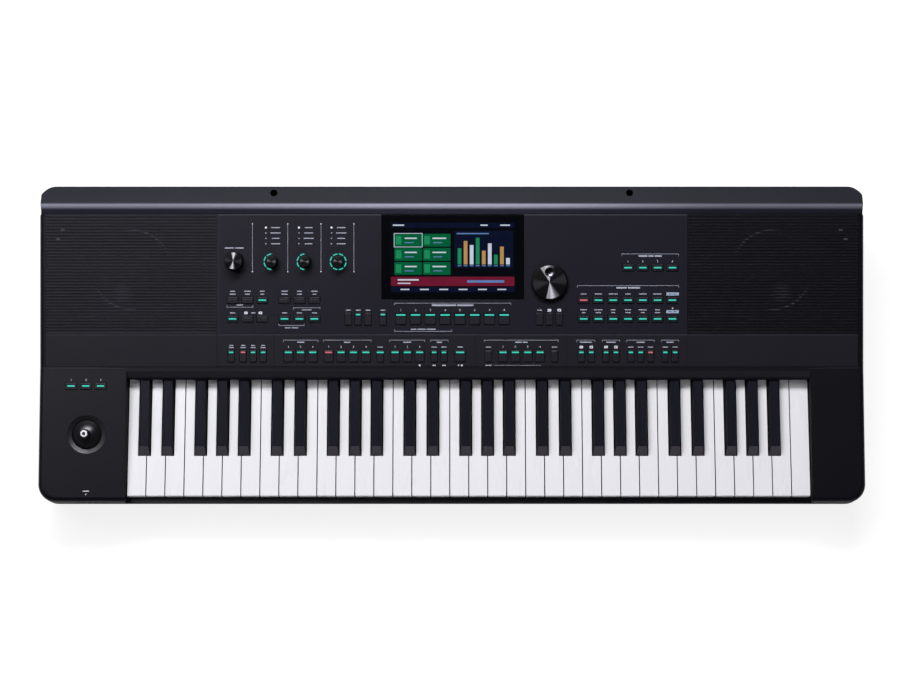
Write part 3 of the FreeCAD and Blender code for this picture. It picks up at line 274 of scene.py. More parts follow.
def painted_falloff(dark, light, shade, rough):
    """Grille plastic: moulded, with painted shade that darkens it towards the right end, so the left end is paler."""
    def paint(place):
        inputs = moulded(dark, light, rough)(place)
        x = place.parts()[0]
        # Painted shade: darker towards the right end, standing for the light falling off.
        return {**inputs, "Base Color": x.band(FALLOFF_HALF, -FALLOFF_HALF).blend(shade, inputs["Base Color"])}
    return paint


def mesh_painted_glints(dark, light, shade, shine):
    """The mesh in the slots: painted shade like the grille's, and painted glints where the rims and the cones of the
    drivers lie behind it.
    """
    def paint(place):
        inputs = painted_falloff(dark, light, shade, 0.6)(place)
        x, along, _ = place.moved((0.0, DRIVER.y, DRIVER.z), tilt=DECK_TILT).parts()
        across = abs(x) - DRIVER.x
        reach = (across * across + along * along) ** 0.5 + TINY
        lit = (along * 0.85 - across * 0.5) / reach
        from_inside = reach.band(DRIVER_RIM_R - 0.0015, DRIVER_RIM_R - 0.0001)
        to_outside = reach.band(DRIVER_RIM_R + 0.0015, DRIVER_RIM_R + 0.0001)
        rim = from_inside * to_outside * (lit * lit).band(0.5, 0.95)

        def painted_speck(right, ahead, inner, outer, level):
            """A soft round spot of painted light, placed from the middle of the driver."""
            right, ahead = across - right, along - ahead
            return ((right * right + ahead * ahead) ** 0.5).band(outer, inner, 0.0, level)

        # Painted highlights: glints of the drivers' rims, a cone and the tweeters, laid on the mesh's colour.
        glow = rim * 0.7 + painted_speck(*CONE_GLINT, 0.003, 0.016, 0.22)
        for glint in TWEETER_GLINTS:
            glow = glow + painted_speck(*glint, 0.0015, 0.0035, 0.95)
        return {**inputs, "Base Color": glow.blend(inputs["Base Color"], shine)}
    return paint


def key_skin(dark, light, side, front, rough, rim):
    """Keys: streaked in long strokes on top; the front slope in another tone, a painted sheen on the black keys; the
    sides painted dark and dull from the rim down, as painted shade in the gaps.
    """
    def paint(place):
        rub = place.stretched(0.02, 0.12, 0.05).noise(1.0)
        facing = place.node("ShaderNodeNewGeometry", output="True Normal").parts()
        height = place.parts()[2]
        # Painted shade: the sides are painted dark below the rim, for the shade in the gaps between keys.
        painted_flank_shade = abs(facing[0]).band(0.7, 0.95) * height.band(rim, rim - FLANK_FADE)
        # The front slope takes its own tone, a painted sheen on the black keys.
        slope = (facing[1] * -1.0).band(0.3, 0.5)
        return {
            "Base Color": painted_flank_shade.blend(slope.blend(rub.blend(dark, light), front), side),
            "Roughness": rough + rub * 0.12 + painted_flank_shade * 0.6,
        }
    return paint


def crest(dark, light, ridge):
    """The rear rail: moulded like the case, with a painted highlight along its ridge, which is smoother there, a
    paler painted front side, and a painted falloff of light that leaves the middle brightest.
    """
    def paint(place):
        cloud = place.noise(CLOUD)
        fleck = place.noise(900.0)
        x, y, _ = place.parts()
        # Painted highlight along the ridge, scaled by a painted falloff of light: brightest in the middle, dimmer to
        # the left, dimmest to the right.
        ridge_line = y.band(*RIDGE_FRONT_Y) * y.band(*RIDGE_REAR_Y)
        light_falloff = x.band(*FALLOFF_LEFT_X, 0.6, 1.0) * x.band(*FALLOFF_RIGHT_X, 0.39, 1.0)
        ridge_highlight = ridge_line * light_falloff
        # The side in front of the ridge is painted paler, with the same painted falloff.
        body = y.band(*RAIL_SLOPE_Y, 0.0, 0.7) * light_falloff + (cloud * 0.7 + fleck * 0.3) * 0.22
        return {
            "Base Color": ridge_highlight.blend(body.blend(dark, light), ridge),
            "Roughness": 0.5 - ridge_highlight * 0.2 + fleck * 0.06,
            "Normal": fleck.bump(0.05, GRAIN_DEPTH),
        }
    return paint


def spun(centre, radius, lean, spread, dark, light):
    """Spun metal: fine rings in the surface and a painted highlight, streaked, in two opposite wedges, with a faint
    painted glint at the sides; a dent below the face is bright metal.
    """
    def paint(place):
        x, y, z = place.moved(centre, tilt=DECK_TILT).parts()
        reach = (x * x + y * y) ** 0.5 + TINY
        across = (x * math.cos(lean) - y * math.sin(lean)) / reach
        streak = (across * 12.0 + 1.4).sine()
        face = reach.band(radius, radius * 0.97)
        # The wedges, their streaks and the side glint are painted highlights in the base colour.
        wedge = across.band(-spread, spread * -0.7) * across.band(spread * 1.2, spread * -0.15)
        side_glint = (across * across).band(0.8, 1.0, 0.0, 0.03)
        gleam = (wedge * (0.74 + streak * 0.26) + side_glint) * face
        dent = z.band(-0.0002, -0.0006) * face
        ring = (reach * 9000.0).sine()
        return {
            "Base Color": dent.blend((gleam * (0.9 + ring * 0.1)).blend(dark, light), ink(96, 96, 102)),
            "Metallic": dent,
            "Roughness": 0.5 - dent * 0.26,
            "Normal": ring.bump(0.1, 0.00002),
        }
    return paint


def dished(centre, tilt, dark, light):
    """The joystick's surround: moulded like the stick, shaded as a bowl that falls towards the middle."""
    def paint(place):
        x, y, _ = place.moved(centre, tilt=tilt).parts()
        bowl = (x * x + y * y) ** 0.5
        fleck = place.noise(900.0)
        return {
            "Base Color": fleck.blend(dark, light),
            "Roughness": 0.36 + fleck * 0.08,
            "Normal": (bowl * 0.12).bump(1.0, 1.0),
        }
    return paint


def glass(place):
    smear = place.stretched(0.05, 0.09, 0.05).noise(1.0, 3.0)
    return {
        "Base Color": smear.blend(ink(5, 6, 8), ink(10, 11, 15)),
        "Roughness": 0.06 + smear * 0.08,
    }


def steel(place):
    scratch = place.stretched(0.2, 0.002, 0.002).noise(1.0, 3.0)
    return {
        "Base Color": scratch.blend(ink(140, 140, 146), ink(205, 205, 208)),
        "Roughness": 0.25 + scratch * 0.2,
    }


def felt(place):
    fibre = place.noise(2600.0, 5.0)
    return {
        "Base Color": fibre.blend(ink(92, 18, 22), ink(158, 40, 44)),
        "Normal": fibre.bump(0.8, 0.0003),
    }


def board(place):
    track = place.stretched(0.004, 0.03, 1.0).node("ShaderNodeTexVoronoi", None, {"Scale": 1.0})
    return {
        "Base Color": track.band(0.2, 0.5).blend(ink(20, 92, 56), ink(10, 58, 36)),
        "Roughness": 0.35 + track * 0.2,
    }


def paper(place):
    fibre = place.stretched(1.0, 1.0, 0.2).noise(420.0, 4.0)
    return {
        "Base Color": fibre.blend(ink(22, 22, 25), ink(48, 47, 50)),
        "Normal": fibre.bump(0.3, 0.0002),
    }


def printed(colour):
    """Screen-printed paint: thin enough in places for the black below to tell."""
    def paint(place):
        cover = place.noise(2200.0, 3.0)
        dull = dimmed(colour, 0.78)
        return {"Base Color": cover.band(0.3, 0.6).blend(dull, colour), "Roughness": 0.5 + cover * 0.2}
    return paint


def glowing(colour, edge):
    """A lit light guide: an even glow with a slightly cloudy lens."""
    def paint(place):
        cloud = place.noise(600.0)
        tone = cloud.blend(edge, colour)
        deep = dimmed(edge, 0.12)
        return {"Base Color": cloud.blend(deep, BLACK), "Emission Color": tone, "Roughness": 0.3 + cloud * 0.1}
    return paint


def lit_screen(colour):
    """Lit picture points: the colour, slightly darker in slow patches."""
    def paint(place):
        patch = place.noise(60.0)
        tone = patch.blend(dimmed(colour, 0.72), colour)
        return {"Base Color": (0.0, 0.0, 0.0, 1.0), "Emission Color": tone, "Roughness": 0.2 + patch * 0.1}
    return paint


skins = {
    # The last colour is the painted highlight on the lip over the keys.
    "case": material(
        "case_black", case_skin(ink(10, 9, 15), ink(16, 15, 21), ink(38, 37, 43)), Specular_IOR_Level=0.25,
    ),
    # The last colour is the painted highlight along the ridge.
    "rail": material(
        "rail_black", crest(ink(10, 11, 22), ink(54, 55, 68), ink(176, 177, 194)), Specular_IOR_Level=0.2,
    ),
    # Panel and strip: the third colour is the painted highlight along their edges.
    "panel": material(
        "panel_black",
        edged(ink(21, 20, 29), ink(28, 27, 36), ink(58, 57, 65), PANEL_REAR_V, PANEL_LEFT_U),
        Specular_IOR_Level=0.3,
    ),
    "strip": material(
        "strip_black",
        edged(ink(23, 23, 29), ink(31, 31, 37), ink(50, 50, 57), STRIP_REAR_V, STRIP_LEFT_U),
        Specular_IOR_Level=0.28,
    ),
    # The third colour is the painted shade towards the right end.
    "grille": material(
        "grille_black", painted_falloff(ink(23, 22, 29), ink(31, 30, 37), ink(14, 13, 18), 0.38), Specular_IOR_Level=0.3,
    ),
    # The third colour is the painted shade towards the right end; the last is the painted glints.
    "mesh": material(
        "mesh_grey",
        mesh_painted_glints(ink(26, 25, 31), ink(34, 33, 40), ink(18, 17, 22), ink(84, 84, 94)),
        Specular_IOR_Level=0.15, Alpha=0.8,
    ),
    "window": material("window_glass", glass, Specular_IOR_Level=0.3),
    "chassis": material("chassis_grey", moulded(ink(30, 30, 33), ink(44, 44, 47), 0.6)),
    "steel": material("turned_steel", steel, Metallic=1.0),
    "felt": material("stop_felt", felt, Roughness=0.95),
    "board": material("board_green", board),
    "contact": material("contact_grey", moulded(ink(70, 72, 76), ink(92, 94, 98), 0.8)),
    "basket": material("basket_black", moulded(ink(22, 22, 25), ink(34, 34, 38), 0.5)),
    "cone": material("cone_paper", paper, Roughness=0.85),
    "magnet": material("magnet_ferrite", moulded(ink(34, 33, 32), ink(54, 52, 50), 0.7, 500.0, 0.3)),
    "socket": material("socket_black", moulded(ink(15, 15, 17), ink(26, 26, 28), 0.4)),
    "plate": material("socket_plate_black", moulded(ink(22, 22, 25), ink(32, 32, 36), 0.5)),
    "rubber": material("foot_rubber", moulded(ink(20, 20, 21), ink(34, 34, 35), 0.85, 800.0, 0.3)),
    "stick": material(
        "joystick_black", moulded(ink(10, 10, 13), ink(17, 17, 20), 0.34, 900.0, 0.04), Specular_IOR_Level=0.7,
    ),
    "knob": material(
        "knob_black", moulded(ink(9, 9, 11), ink(15, 15, 17), 0.5, 900.0, 0.05), Specular_IOR_Level=0.18,
    ),
    "dish": material(
        "joystick_dish", dished((CHEEK @ STICK).to_tuple(), CHEEK_TILT, ink(12, 12, 15), ink(19, 19, 22)),
        Specular_IOR_Level=0.6,
    ),
    "cap": material(
        "button_grey", moulded(ink(20, 20, 27), ink(28, 28, 35), 0.42, 1100.0, 0.08), Specular_IOR_Level=0.35,
    ),
    # Keys: the third colour is the painted shade down the sides; the fourth is the front slope's tone, a painted
    # sheen on the black keys.
    "white_key": material(
        "key_white",
        key_skin(
            ink(230, 230, 231), ink(234, 234, 235), ink(26, 26, 28), ink(220, 220, 222), 0.22, WHITE_RIM_Z,
        ),
    ),
    "black_key": material(
        "key_black",
        key_skin(ink(23, 23, 30), ink(29, 29, 37), ink(6, 6, 8), ink(80, 77, 84), 0.16, BLACK_RIM_Z),
        Specular_IOR_Level=0.13,
    ),
    "guide_dark": material("light_guide_dark", moulded(ink(20, 26, 30), ink(30, 38, 42), 0.3)),
    "print": material("print_pale", printed(ink(214, 218, 226))),
    "print_dim": material("print_grey", printed(ink(168, 171, 184))),
    "print_label": material("print_label", printed(ink(156, 176, 198))),
    "ring_white": material("ring_white", printed(ink(246, 246, 248))),
    "teal": material("light_teal", glowing(ink(74, 212, 192), ink(34, 186, 164)), Emission_Strength=1.0),
    "red": material("light_red", glowing(ink(206, 122, 136), ink(190, 80, 96)), Emission_Strength=1.0),
    # The tiles round the lit lenses: dark, tinted with the light's colour, as painted halo and shade.
    "halo_shade_teal": material("light_halo_shade_teal", moulded(ink(1, 18, 18), ink(3, 26, 25), 0.6), Specular_IOR_Level=0.0),
    "halo_shade_red": material("light_halo_shade_red", moulded(ink(34, 3, 9), ink(46, 6, 13), 0.6), Specular_IOR_Level=0.0),
    "dot": material("light_dot", glowing(ink(240, 244, 248), ink(200, 208, 216)), Emission_Strength=1.0),
}
SCREEN_TONES = {
    "screen_back": ink(7, 9, 15),
    "screen_navy": ink(12, 19, 42),
    "screen_green": ink(4, 96, 58),
    "screen_leaf": ink(30, 142, 92),
    "screen_wine": ink(112, 26, 50),
    "screen_pale": ink(206, 216, 232),
    "screen_blue": ink(96, 130, 186),
    "screen_gold": ink(190, 146, 84),
}
for name, colour in SCREEN_TONES.items():
    skins[name] = material(name, lit_screen(colour), Emission_Strength=1.0, Specular_IOR_Level=0.1)


# The CAD pieces: their materials, and edges rounded by so many millimetres

CLOTHES = {
    "case": ("lower_case", "upper_case"),
    "rail": ("rear_rail",),
    "panel": ("control_panel",),
    "strip": ("style_strip",),
    "grille": ("left_grille", "right_grille"),
    "window": ("display_window",),
    "chassis": ("key_frame", "display_module"),
    "steel": ("key_pivot_rod", "case_screws", "port_sockets"),
    "felt": ("key_felts",),
    "board": ("contact_board", "circuit_boards"),
    "contact": ("contact_rubbers",),
    "basket": ("woofer_frames", "tweeters"),
    "cone": ("woofer_cones",),
    "magnet": ("woofer_magnets",),
    "socket": ("jack_sockets", "rotary_controls", "power_switch"),
    "plate": ("jack_plate",),
    "rubber": ("feet",),
    "stick": ("joystick_yoke", "joystick_cap"),
    "dish": ("joystick_base",),
    "guide_dark": ("light_rings",),
    "cap": tuple(
        bank + "_buttons"
        for bank in ("select", "setting", "store", "memory", "exit", "voice", "style", "pad", "effect", "assign")
    ),
    "white_key": tuple(f"octave_{n}_naturals_{comb}" for n in range(1, 6) for comb in ("cegb", "dfa")),
    "black_key": tuple(f"octave_{n}_sharps" for n in range(1, 6)),
}
KNOBS = ("volume_knob", "encoder_knob_1", "encoder_knob_2", "encoder_knob_3", "data_dial")
EDGE = {"white_key": 0.3, "black_key": 0.7, "case": 0.4, "rail": 0.4, "cap": 0.35, "grille": 0.25}
EDGE_PLAIN = 0.25
SHARP = {"steel", "board", "chassis", "felt", "contact", "magnet"}


def only(piece):
    """Select this piece alone and make it the active one."""
    bpy.ops.object.select_all(action="DESELECT")
    piece.select_set(True)
    bpy.context.view_layer.objects.active = piece


def dress(name, skin):
    """Give a CAD piece its material, welded shading and slightly rounded edges."""
    piece = nodes[name]
    piece.data.materials.clear()
    piece.data.materials.append(skins[skin])
    if skin in SHARP:
        return
    weld = piece.modifiers.new("weld", "WELD")
    weld.merge_threshold = 0.00002
    rounding = piece.modifiers.new("edge", "BEVEL")
    rounding.width = EDGE.get(skin, EDGE_PLAIN) * MM
    rounding.segments = 2
    rounding.limit_method = "ANGLE"
    rounding.angle_limit = math.radians(38.0)
    rounding.use_clamp_overlap = True
    rounding.face_strength_mode = "FSTR_ALL"
    only(piece)
    bpy.ops.object.shade_smooth()
    even = piece.modifiers.new("even", "WEIGHTED_NORMAL")
    even.use_face_influence = True


for skin, names in CLOTHES.items():
    for name in names:
        dress(name, skin)
for name in KNOBS:
    nodes[name].data.materials.clear()
    nodes[name].data.materials.append(skins["knob"])


# Modelling by hand

def rename(piece, name):
    piece.name = name
    piece.data.name = name


def blank(name):
    """A new plane, one millimetre wide, open in edit mode."""
    bpy.ops.object.select_all(action="DESELECT")
    bpy.ops.mesh.primitive_plane_add(size=MM)
    piece = bpy.context.object
    rename(piece, name)
    bpy.ops.object.mode_set(mode="EDIT")
    return piece


def begin(name):
    """A new mesh, emptied and open in edit mode, for shapes to be added to."""
    piece = blank(name)
    bpy.ops.mesh.delete(type="VERT")
    return piece


def end(piece, skin, body="case", place=DECK):
    """Leave edit mode, set the piece in its frame and hand it to the body that carries it."""
    bpy.ops.object.mode_set(mode="OBJECT")
    only(piece)
    piece.matrix_world = place
    bpy.ops.object.transform_apply(location=True, rotation=True, scale=True)
    piece.data.materials.clear()
    piece.data.materials.append(skins[skin])
    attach(piece, body)


def copy(piece):
    """A copy of a piece, with its own mesh."""
    only(piece)
    bpy.ops.object.duplicate(linked=False)
    return bpy.context.object


def raise_by(height):
    bpy.ops.mesh.extrude_region_move(TRANSFORM_OT_translate={"value": (0.0, 0.0, height * MM)})


def flat(u, v, width, height, level):
    """A flat face in edit mode, to be rounded and raised."""
    bpy.ops.mesh.primitive_plane_add(size=MM, location=(u * MM, v * MM, level * MM))
    bpy.ops.transform.resize(value=(width, height, 1.0))


def tile(u, v, width, height, level=0.0, thick=PRINT_T, corner=0.0):
    """A flat plate in edit mode: a face at its place, its corners rounded, raised to its thickness."""
    flat(u, v, width, height, level)
    if corner:
        bpy.ops.mesh.bevel(offset=corner * MM, affect="VERTICES", segments=3)
    raise_by(thick)


def disc(u, v, radius, thick=PRINT_T, sides=16, turn=0.0):
    """A round plate in edit mode."""
    place = (u * MM, v * MM, 0.0)
    bpy.ops.mesh.primitive_circle_add(
        vertices=sides, radius=radius * MM, fill_type="NGON", location=place, rotation=(0.0, 0.0, turn)
    )
    raise_by(thick)


def arrow(u, v, degrees):
    """A three-cornered plate in edit mode; unturned, it points up the slope."""
    disc(u, v, ARROW_R, sides=3, turn=math.radians(degrees))


def lens(u, v, width, height, level):
    """The lens of a light in edit mode: a rounded plate whose top is drawn in."""
    corner, wall, crown = 0.5, 0.14, 0.08
    flat(u, v, width, height, level)
    bpy.ops.mesh.bevel(offset=corner * MM, affect="VERTICES", segments=2)
    raise_by(wall)
    raise_by(crown)
    bpy.ops.transform.resize(value=(0.94, 0.84, 1.0))


def web(u, v, length, width, level):
    """A narrow web in edit mode, pressed up into a slot so that its edges curl down."""
    half = 0.15
    flat(u, v, length, width, level)
    raise_by(half)
    raise_by(half)
    bpy.ops.transform.resize(value=(1.0, 0.7, 1.0))


def turned(name, profile, sides):
    """A turned piece: one point drawn out along a profile of (radius, height), then spun."""
    piece = blank(name)
    bpy.ops.mesh.merge(type="CENTER")
    start_r, start_h = profile[0]
    bpy.ops.transform.translate(value=(start_r * MM, 0.0, start_h * MM))
    for (r0, h0), (r1, h1) in zip(profile, profile[1:]):
        step = ((r1 - r0) * MM, 0.0, (h1 - h0) * MM)
        bpy.ops.mesh.extrude_region_move(TRANSFORM_OT_translate={"value": step})
    bpy.ops.mesh.select_all(action="SELECT")
    bpy.ops.mesh.spin(steps=sides, angle=2.0 * math.pi, center=(0.0, 0.0, 0.0), axis=(0.0, 0.0, 1.0))
    bpy.ops.mesh.select_all(action="SELECT")
    bpy.ops.mesh.remove_doubles(threshold=0.000002)
    bpy.ops.mesh.normals_make_consistent(inside=False)
    return piece


def pick_faces(piece, wanted):
    """Select, by place and normal, the faces for which wanted(centre, normal) holds."""
    bpy.ops.mesh.select_all(action="DESELECT")
    bpy.ops.object.mode_set(mode="OBJECT")
    for face in piece.data.polygons:
        face.select = wanted(face.center, face.normal)
    bpy.ops.object.mode_set(mode="EDIT")


def smooth(degrees=40.0):
    """Leave edit mode and shade the piece smooth, but for edges sharper than so many degrees."""
    bpy.ops.object.mode_set(mode="OBJECT")
    bpy.ops.object.shade_smooth_by_angle(angle=math.radians(degrees))


def spot(u, v, w=0.0):
    """A place on the deck as a matrix for a finished piece."""
    return DECK @ Matrix.Translation(Vector((u, v, w)) * MM)


# Rows of buttons: (first u, pitch, how many)

def stations(first, pitch, count):
    return [first + pitch * n for n in range(count)]


def one(u):
    return (u, 0.0, 1)


SELECT_ROW = (-271.5, 18.4, 3)
SETTING_ROW = (-207.2, 18.5, 3)
STORE_ROW = (-128.1, 12.1, 3)
STORE_LIT_ROW = (-116.0, 30.7, 2)
MEMORY_ROW = (-63.1, 18.3, 8)
VOICE_ROW = (163.4, 18.3, 7)
PART_ROW = (218.3, 18.35, 4)
ASSIGN_ROW = (-471.15, 18.25, 3)
CORNER_ROW = one(-273.2)
SWITCH_ROW = (-258.5, 12.4, 3)
INTRO_ROW = (-202.4, 15.1, 3)
MAIN_ROW = (-152.5, 15.4, 4)
BREAK_ROW = one(-88.6)
ENDING_ROW = (-70.2, 15.2, 3)
SYNC_ROW = (-21.8, 12.1, 2)
START_ROW = one(10.4)
PAD_PICK_ROW = one(45.4)
PAD_ROW = (63.5, 15.3, 4)
PAD_STOP_ROW = one(127.3)
PAIR_A_ROW = (160.5, 12.3, 2)
PAIR_B_ROW = (191.1, 12.2, 2)
EFFECT_ROW = (221.8, 12.2, 3)
END_ROW = (264.5, 12.2, 2)


# Lights on the buttons: (row, v, width, the colour of each)

LIGHTS = {
    "select_buttons": (
        (SELECT_ROW, 83.7, 9.5, "--t"),
        (SELECT_ROW, 60.5, 9.5, "t--"),
    ),
    "setting_buttons": (
        (SETTING_ROW, 83.7, 9.5, "---"),
        (SETTING_ROW, 60.5, 9.5, "ttt"),
    ),
    "store_buttons": (
        (STORE_LIT_ROW, 65.8, 5.6, "tt"),
    ),
    "memory_buttons": (
        (MEMORY_ROW, 65.3, 11.6, "tttttttt"),
    ),
    "voice_buttons": (
        (VOICE_ROW, 83.7, 9.5, "rtttttt"),
        (VOICE_ROW, 60.5, 9.5, "ttttttt"),
        (PART_ROW, 123.9, 9.5, "tttt"),
    ),
    "style_buttons": (
        (CORNER_ROW, 19.0, 5.6, "t"),
        (SWITCH_ROW, 19.0, 5.6, "rtt"),
        (INTRO_ROW, 19.0, 8.8, "ttt"),
        (MAIN_ROW, 19.0, 8.8, "rttt"),
        (BREAK_ROW, 19.0, 8.8, "t"),
        (ENDING_ROW, 19.0, 8.8, "ttt"),
        (SYNC_ROW, 19.0, 5.6, "tt"),
        (START_ROW, 19.0, 10.2, "t"),
    ),
    "pad_buttons": (
        (PAD_PICK_ROW, 19.0, 5.6, "-"),
        (PAD_ROW, 19.0, 8.8, "tttt"),
        (PAD_STOP_ROW, 19.0, 5.6, "-"),
    ),
    "effect_buttons": (
        (PAIR_A_ROW, 19.0, 5.6, "tt"),
        (PAIR_B_ROW, 19.0, 5.6, "tt"),
        (EFFECT_ROW, 19.0, 5.6, "ttr"),
        (END_ROW, 19.0, 5.6, "tt"),
    ),
    "assign_buttons": (
        (ASSIGN_ROW, -22.8, 9.0, "ttt"),
    ),
}
LENS = {"t": "teal", "r": "red", "-": "guide_dark"}
# Round each lit lens a flat dark tile, tinted with its light: a painted halo and the painted shade of a recess.
LENS_HALO_SHADE = {"t": "halo_shade_teal", "r": "halo_shade_red"}
LIGHT_H = 1.9
LIGHT_SEAT = CAP_TOP - 0.02
HALO_SHADE_RIM = 1.0
HALO_SHADE_T = 0.05
HALO_SHADE_CORNER = 0.6

for bank, rows in LIGHTS.items():
    base = CHEEK if bank == "assign_buttons" else DECK
    for letter, skin in LENS.items():
        places = [
            (u, v, width)
            for row, v, width, lit in rows
            for u, colour in zip(stations(*row), lit)
            if colour == letter
        ]
        if not places:
            continue
        piece = begin(bank.replace("_buttons", "_lights_") + skin)
        for u, v, width in places:
            lens(u, v, width, LIGHT_H, LIGHT_SEAT)
        end(piece, skin, bank, base)
        if letter in LENS_HALO_SHADE:
            # The tinted tiles round the lenses: painted halo and painted shade.
            piece = begin(bank.replace("_buttons", "_halo_shades_") + letter)
            for u, v, width in places:
                tile(u, v, width + HALO_SHADE_RIM, LIGHT_H + 2.0 * HALO_SHADE_RIM, LIGHT_SEAT, HALO_SHADE_T, HALO_SHADE_CORNER)
            end(piece, LENS_HALO_SHADE[letter], bank, base)


# Dust mesh in the slots of the two grilles: the slots, and the u of each grille's ends

SLOT_V, SLOT_PITCH, SLOT_COUNT, SLOT_W = 45.450, 3.8, 38, 2.0
SLOT_PLAY = 0.04
MESH_LEVEL = -0.9
GRILLE_ENDS = {"left_mesh": (-502.4, -291.7), "right_mesh": (293.4, 502.4)}

for name, (left, right) in GRILLE_ENDS.items():
    piece = begin(name)
    for v in stations(SLOT_V, SLOT_PITCH, SLOT_COUNT):
        web((left + right) / 2.0, v, right - left - SLOT_PLAY, SLOT_W - SLOT_PLAY, MESH_LEVEL)
    end(piece, "mesh")


# Prints on the panel, the strip and the cheek

def words(u, v, *lengths, tall=1.1):
    """A label that stays unlettered: short dashes side by side, centred on u."""
    gap = 1.4
    left = u - (sum(lengths) + gap * (len(lengths) - 1)) / 2.0
    for length in lengths:
        tile(left + length / 2.0, v, length, tall, corner=0.3)
        left += length + gap


def bracket(u0, u1, v, hook, lengths, tall):
    """A printed line with a short hook at each end and an unlettered heading inside."""
    line, heading = 0.45, 2.6
    tile((u0 + u1) / 2.0, v, u1 - u0, line)
    for u in (u0, u1):
        tile(u, v + hook / 2.0, 0.4, abs(hook) + 0.4)
    words((u0 + u1) / 2.0, v + math.copysign(heading, hook), *lengths, tall=tall)


UPPER_WORD_V, LOWER_WORD_V, STORE_WORD_V = (94.8, 91.1), 67.9, 71.3
VOICE_WORD_V = (91.4, 71.8, 68.3)
STRIP_WORD_V, STRIP_PAIR_V = 25.6, (27.6, 25.0)
PAD_LINE_V = 3.0
PLAYER_SIGN_V = 2.9
DIVIDER_U, DIVIDER_V = (-247.0, -203.2, -162.0, -121.3), (119.0, 178.2)
DOT_U = (-230.3, -189.3, -149.0)
DOT_V = (173.6, 167.0, 160.3, 153.6)
SIGN_PLACES = [(-255.0, LOWER_WORD_V), (-237.0, LOWER_WORD_V), (121.0, STORE_WORD_V), (133.2, STORE_WORD_V)]
SIGN_PLACES += [(u, STRIP_WORD_V) for u in stations(*PAIR_A_ROW) + stations(*PAIR_B_ROW)]
LABEL_U, LABEL_V = 273.6, (91.4, 69.4)

# Brackets: (from u, to u, v, hook, lengths of the heading's dashes, their height)
BRACKETS = (
    (-70.8, 73.0, 80.0, -2.2, (30.0, 20.0), 2.0),
    (-70.8, 0.0, 45.1, 2.2, (7.0, 10.0, 11.0), 1.3),
    (210.6, 280.9, 141.0, -2.2, (11.0, 6.0, 9.0), 2.0),
    (155.6, 281.3, 101.7, -2.2, (13.0, 15.0), 2.0),
    (-196.3, -163.2, 74.3, -2.0, (12.0,), 1.2),
    (-278.6, -246.4, 75.0, 2.0, (8.0,), 1.2),
    (-214.2, -182.9, 52.3, 2.0, (), 1.2),
    (-208.4, -165.8, 34.2, -2.0, (9.0,), 1.4),
    (-159.0, -100.0, 34.2, -2.0, (8.0,), 1.4),
    (-77.0, -33.6, 34.2, -2.0, (10.0,), 1.4),
    (-26.1, -4.6, 34.2, -2.0, (7.0,), 1.4),
    (40.3, 132.0, 34.2, -2.0, (8.0, 6.0), 1.4),
    (154.9, 177.4, 34.2, -2.0, (15.0,), 1.4),
    (186.6, 208.0, 34.2, -2.0, (12.0,), 1.4),
    (216.8, 251.0, 34.2, -2.0, (10.0,), 1.4),
    (259.5, 281.3, 34.2, -2.0, (9.0,), 1.4),
)

piece = begin("panel_prints")
for marks in BRACKETS:
    bracket(*marks)
tile(81.4, PAD_LINE_V, 58.8, 0.35)
words(45.6, PAD_LINE_V, 7.5)
words(-269.6, 148.4, 11.0, 11.0, tall=1.5)
words(-198.5, 49.4, 7.0, 8.0)
for n, u in enumerate(stations(*SELECT_ROW) + stations(*SETTING_ROW)):
    words(u, UPPER_WORD_V[0], 6.0 + 2.0 * (n % 2))
    words(u, UPPER_WORD_V[1], 7.5 - 1.5 * (n % 3))
for u in stations(*SELECT_ROW)[:1] + stations(*SETTING_ROW):
    words(u, LOWER_WORD_V, 6.5)
words(-246.0, LOWER_WORD_V, 5.0)
for u in stations(*STORE_ROW) + [-85.3, 108.8]:
    words(u, STORE_WORD_V, 6.0)
for n, u in enumerate(stations(*VOICE_ROW)[:-1]):
    words(u, VOICE_WORD_V[0], 7.0 + 2.0 * (n % 3))
    words(u, VOICE_WORD_V[1], 6.0 + 2.0 * ((n + 1) % 3))
    words(u, VOICE_WORD_V[2], 5.0 + 1.5 * (n % 2))
for u in stations(*CORNER_ROW) + stations(*SWITCH_ROW):
    words(u, STRIP_PAIR_V[0], 5.0)
    words(u, STRIP_PAIR_V[1], 6.5)
for row in (BREAK_ROW, SYNC_ROW, START_ROW, PAD_PICK_ROW, PAD_STOP_ROW, EFFECT_ROW, END_ROW):
    for u in stations(*row):
        words(u, STRIP_WORD_V, 6.6)
for u in DOT_U:
    for n, v in enumerate(DOT_V):
        words(u + 12.0, v, 9.5 + 1.5 * ((n + int(u)) % 3))
end(piece, "print_dim")

piece = begin("panel_boxes")
disc(LABEL_U, 73.6, 0.9)
for u, v in SIGN_PLACES:
    tile(u, v, 4.4, 3.2, corner=0.6)
for u in DIVIDER_U:
    for v in DIVIDER_V:
        disc(u, v, 0.75)
for u in (-39.8, 12.4):
    tile(u, PLAYER_SIGN_V, 2.2, 2.2)
for u in (-23.1, -20.9):
    arrow(u, PLAYER_SIGN_V, 90.0)
for u in (-10.8, -8.6, 8.4):
    arrow(u, PLAYER_SIGN_V, -90.0)
end(piece, "print")

piece = begin("panel_labels")
for v in LABEL_V:
    tile(LABEL_U, v, 15.4, 3.7, corner=0.3)
end(piece, "print_label")

piece = begin("panel_dividers")
for u in DIVIDER_U:
    tile(u, sum(DIVIDER_V) / 2.0, 0.4, 57.4)
end(piece, "print_dim")

MARK_T = 0.03
piece = begin("sign_marks")
for n, (u, v) in enumerate(SIGN_PLACES):
    tile(u, v, 1.9, 0.55, PRINT_T, MARK_T)
    if n % 2:
        tile(u, v, 0.55, 1.8, PRINT_T, MARK_T)
for v in LABEL_V:
    for aside, width in ((-2.6, 4.6), (2.9, 3.6)):
        tile(LABEL_U + aside, v, width, 0.8, PRINT_T, MARK_T)
end(piece, "socket")

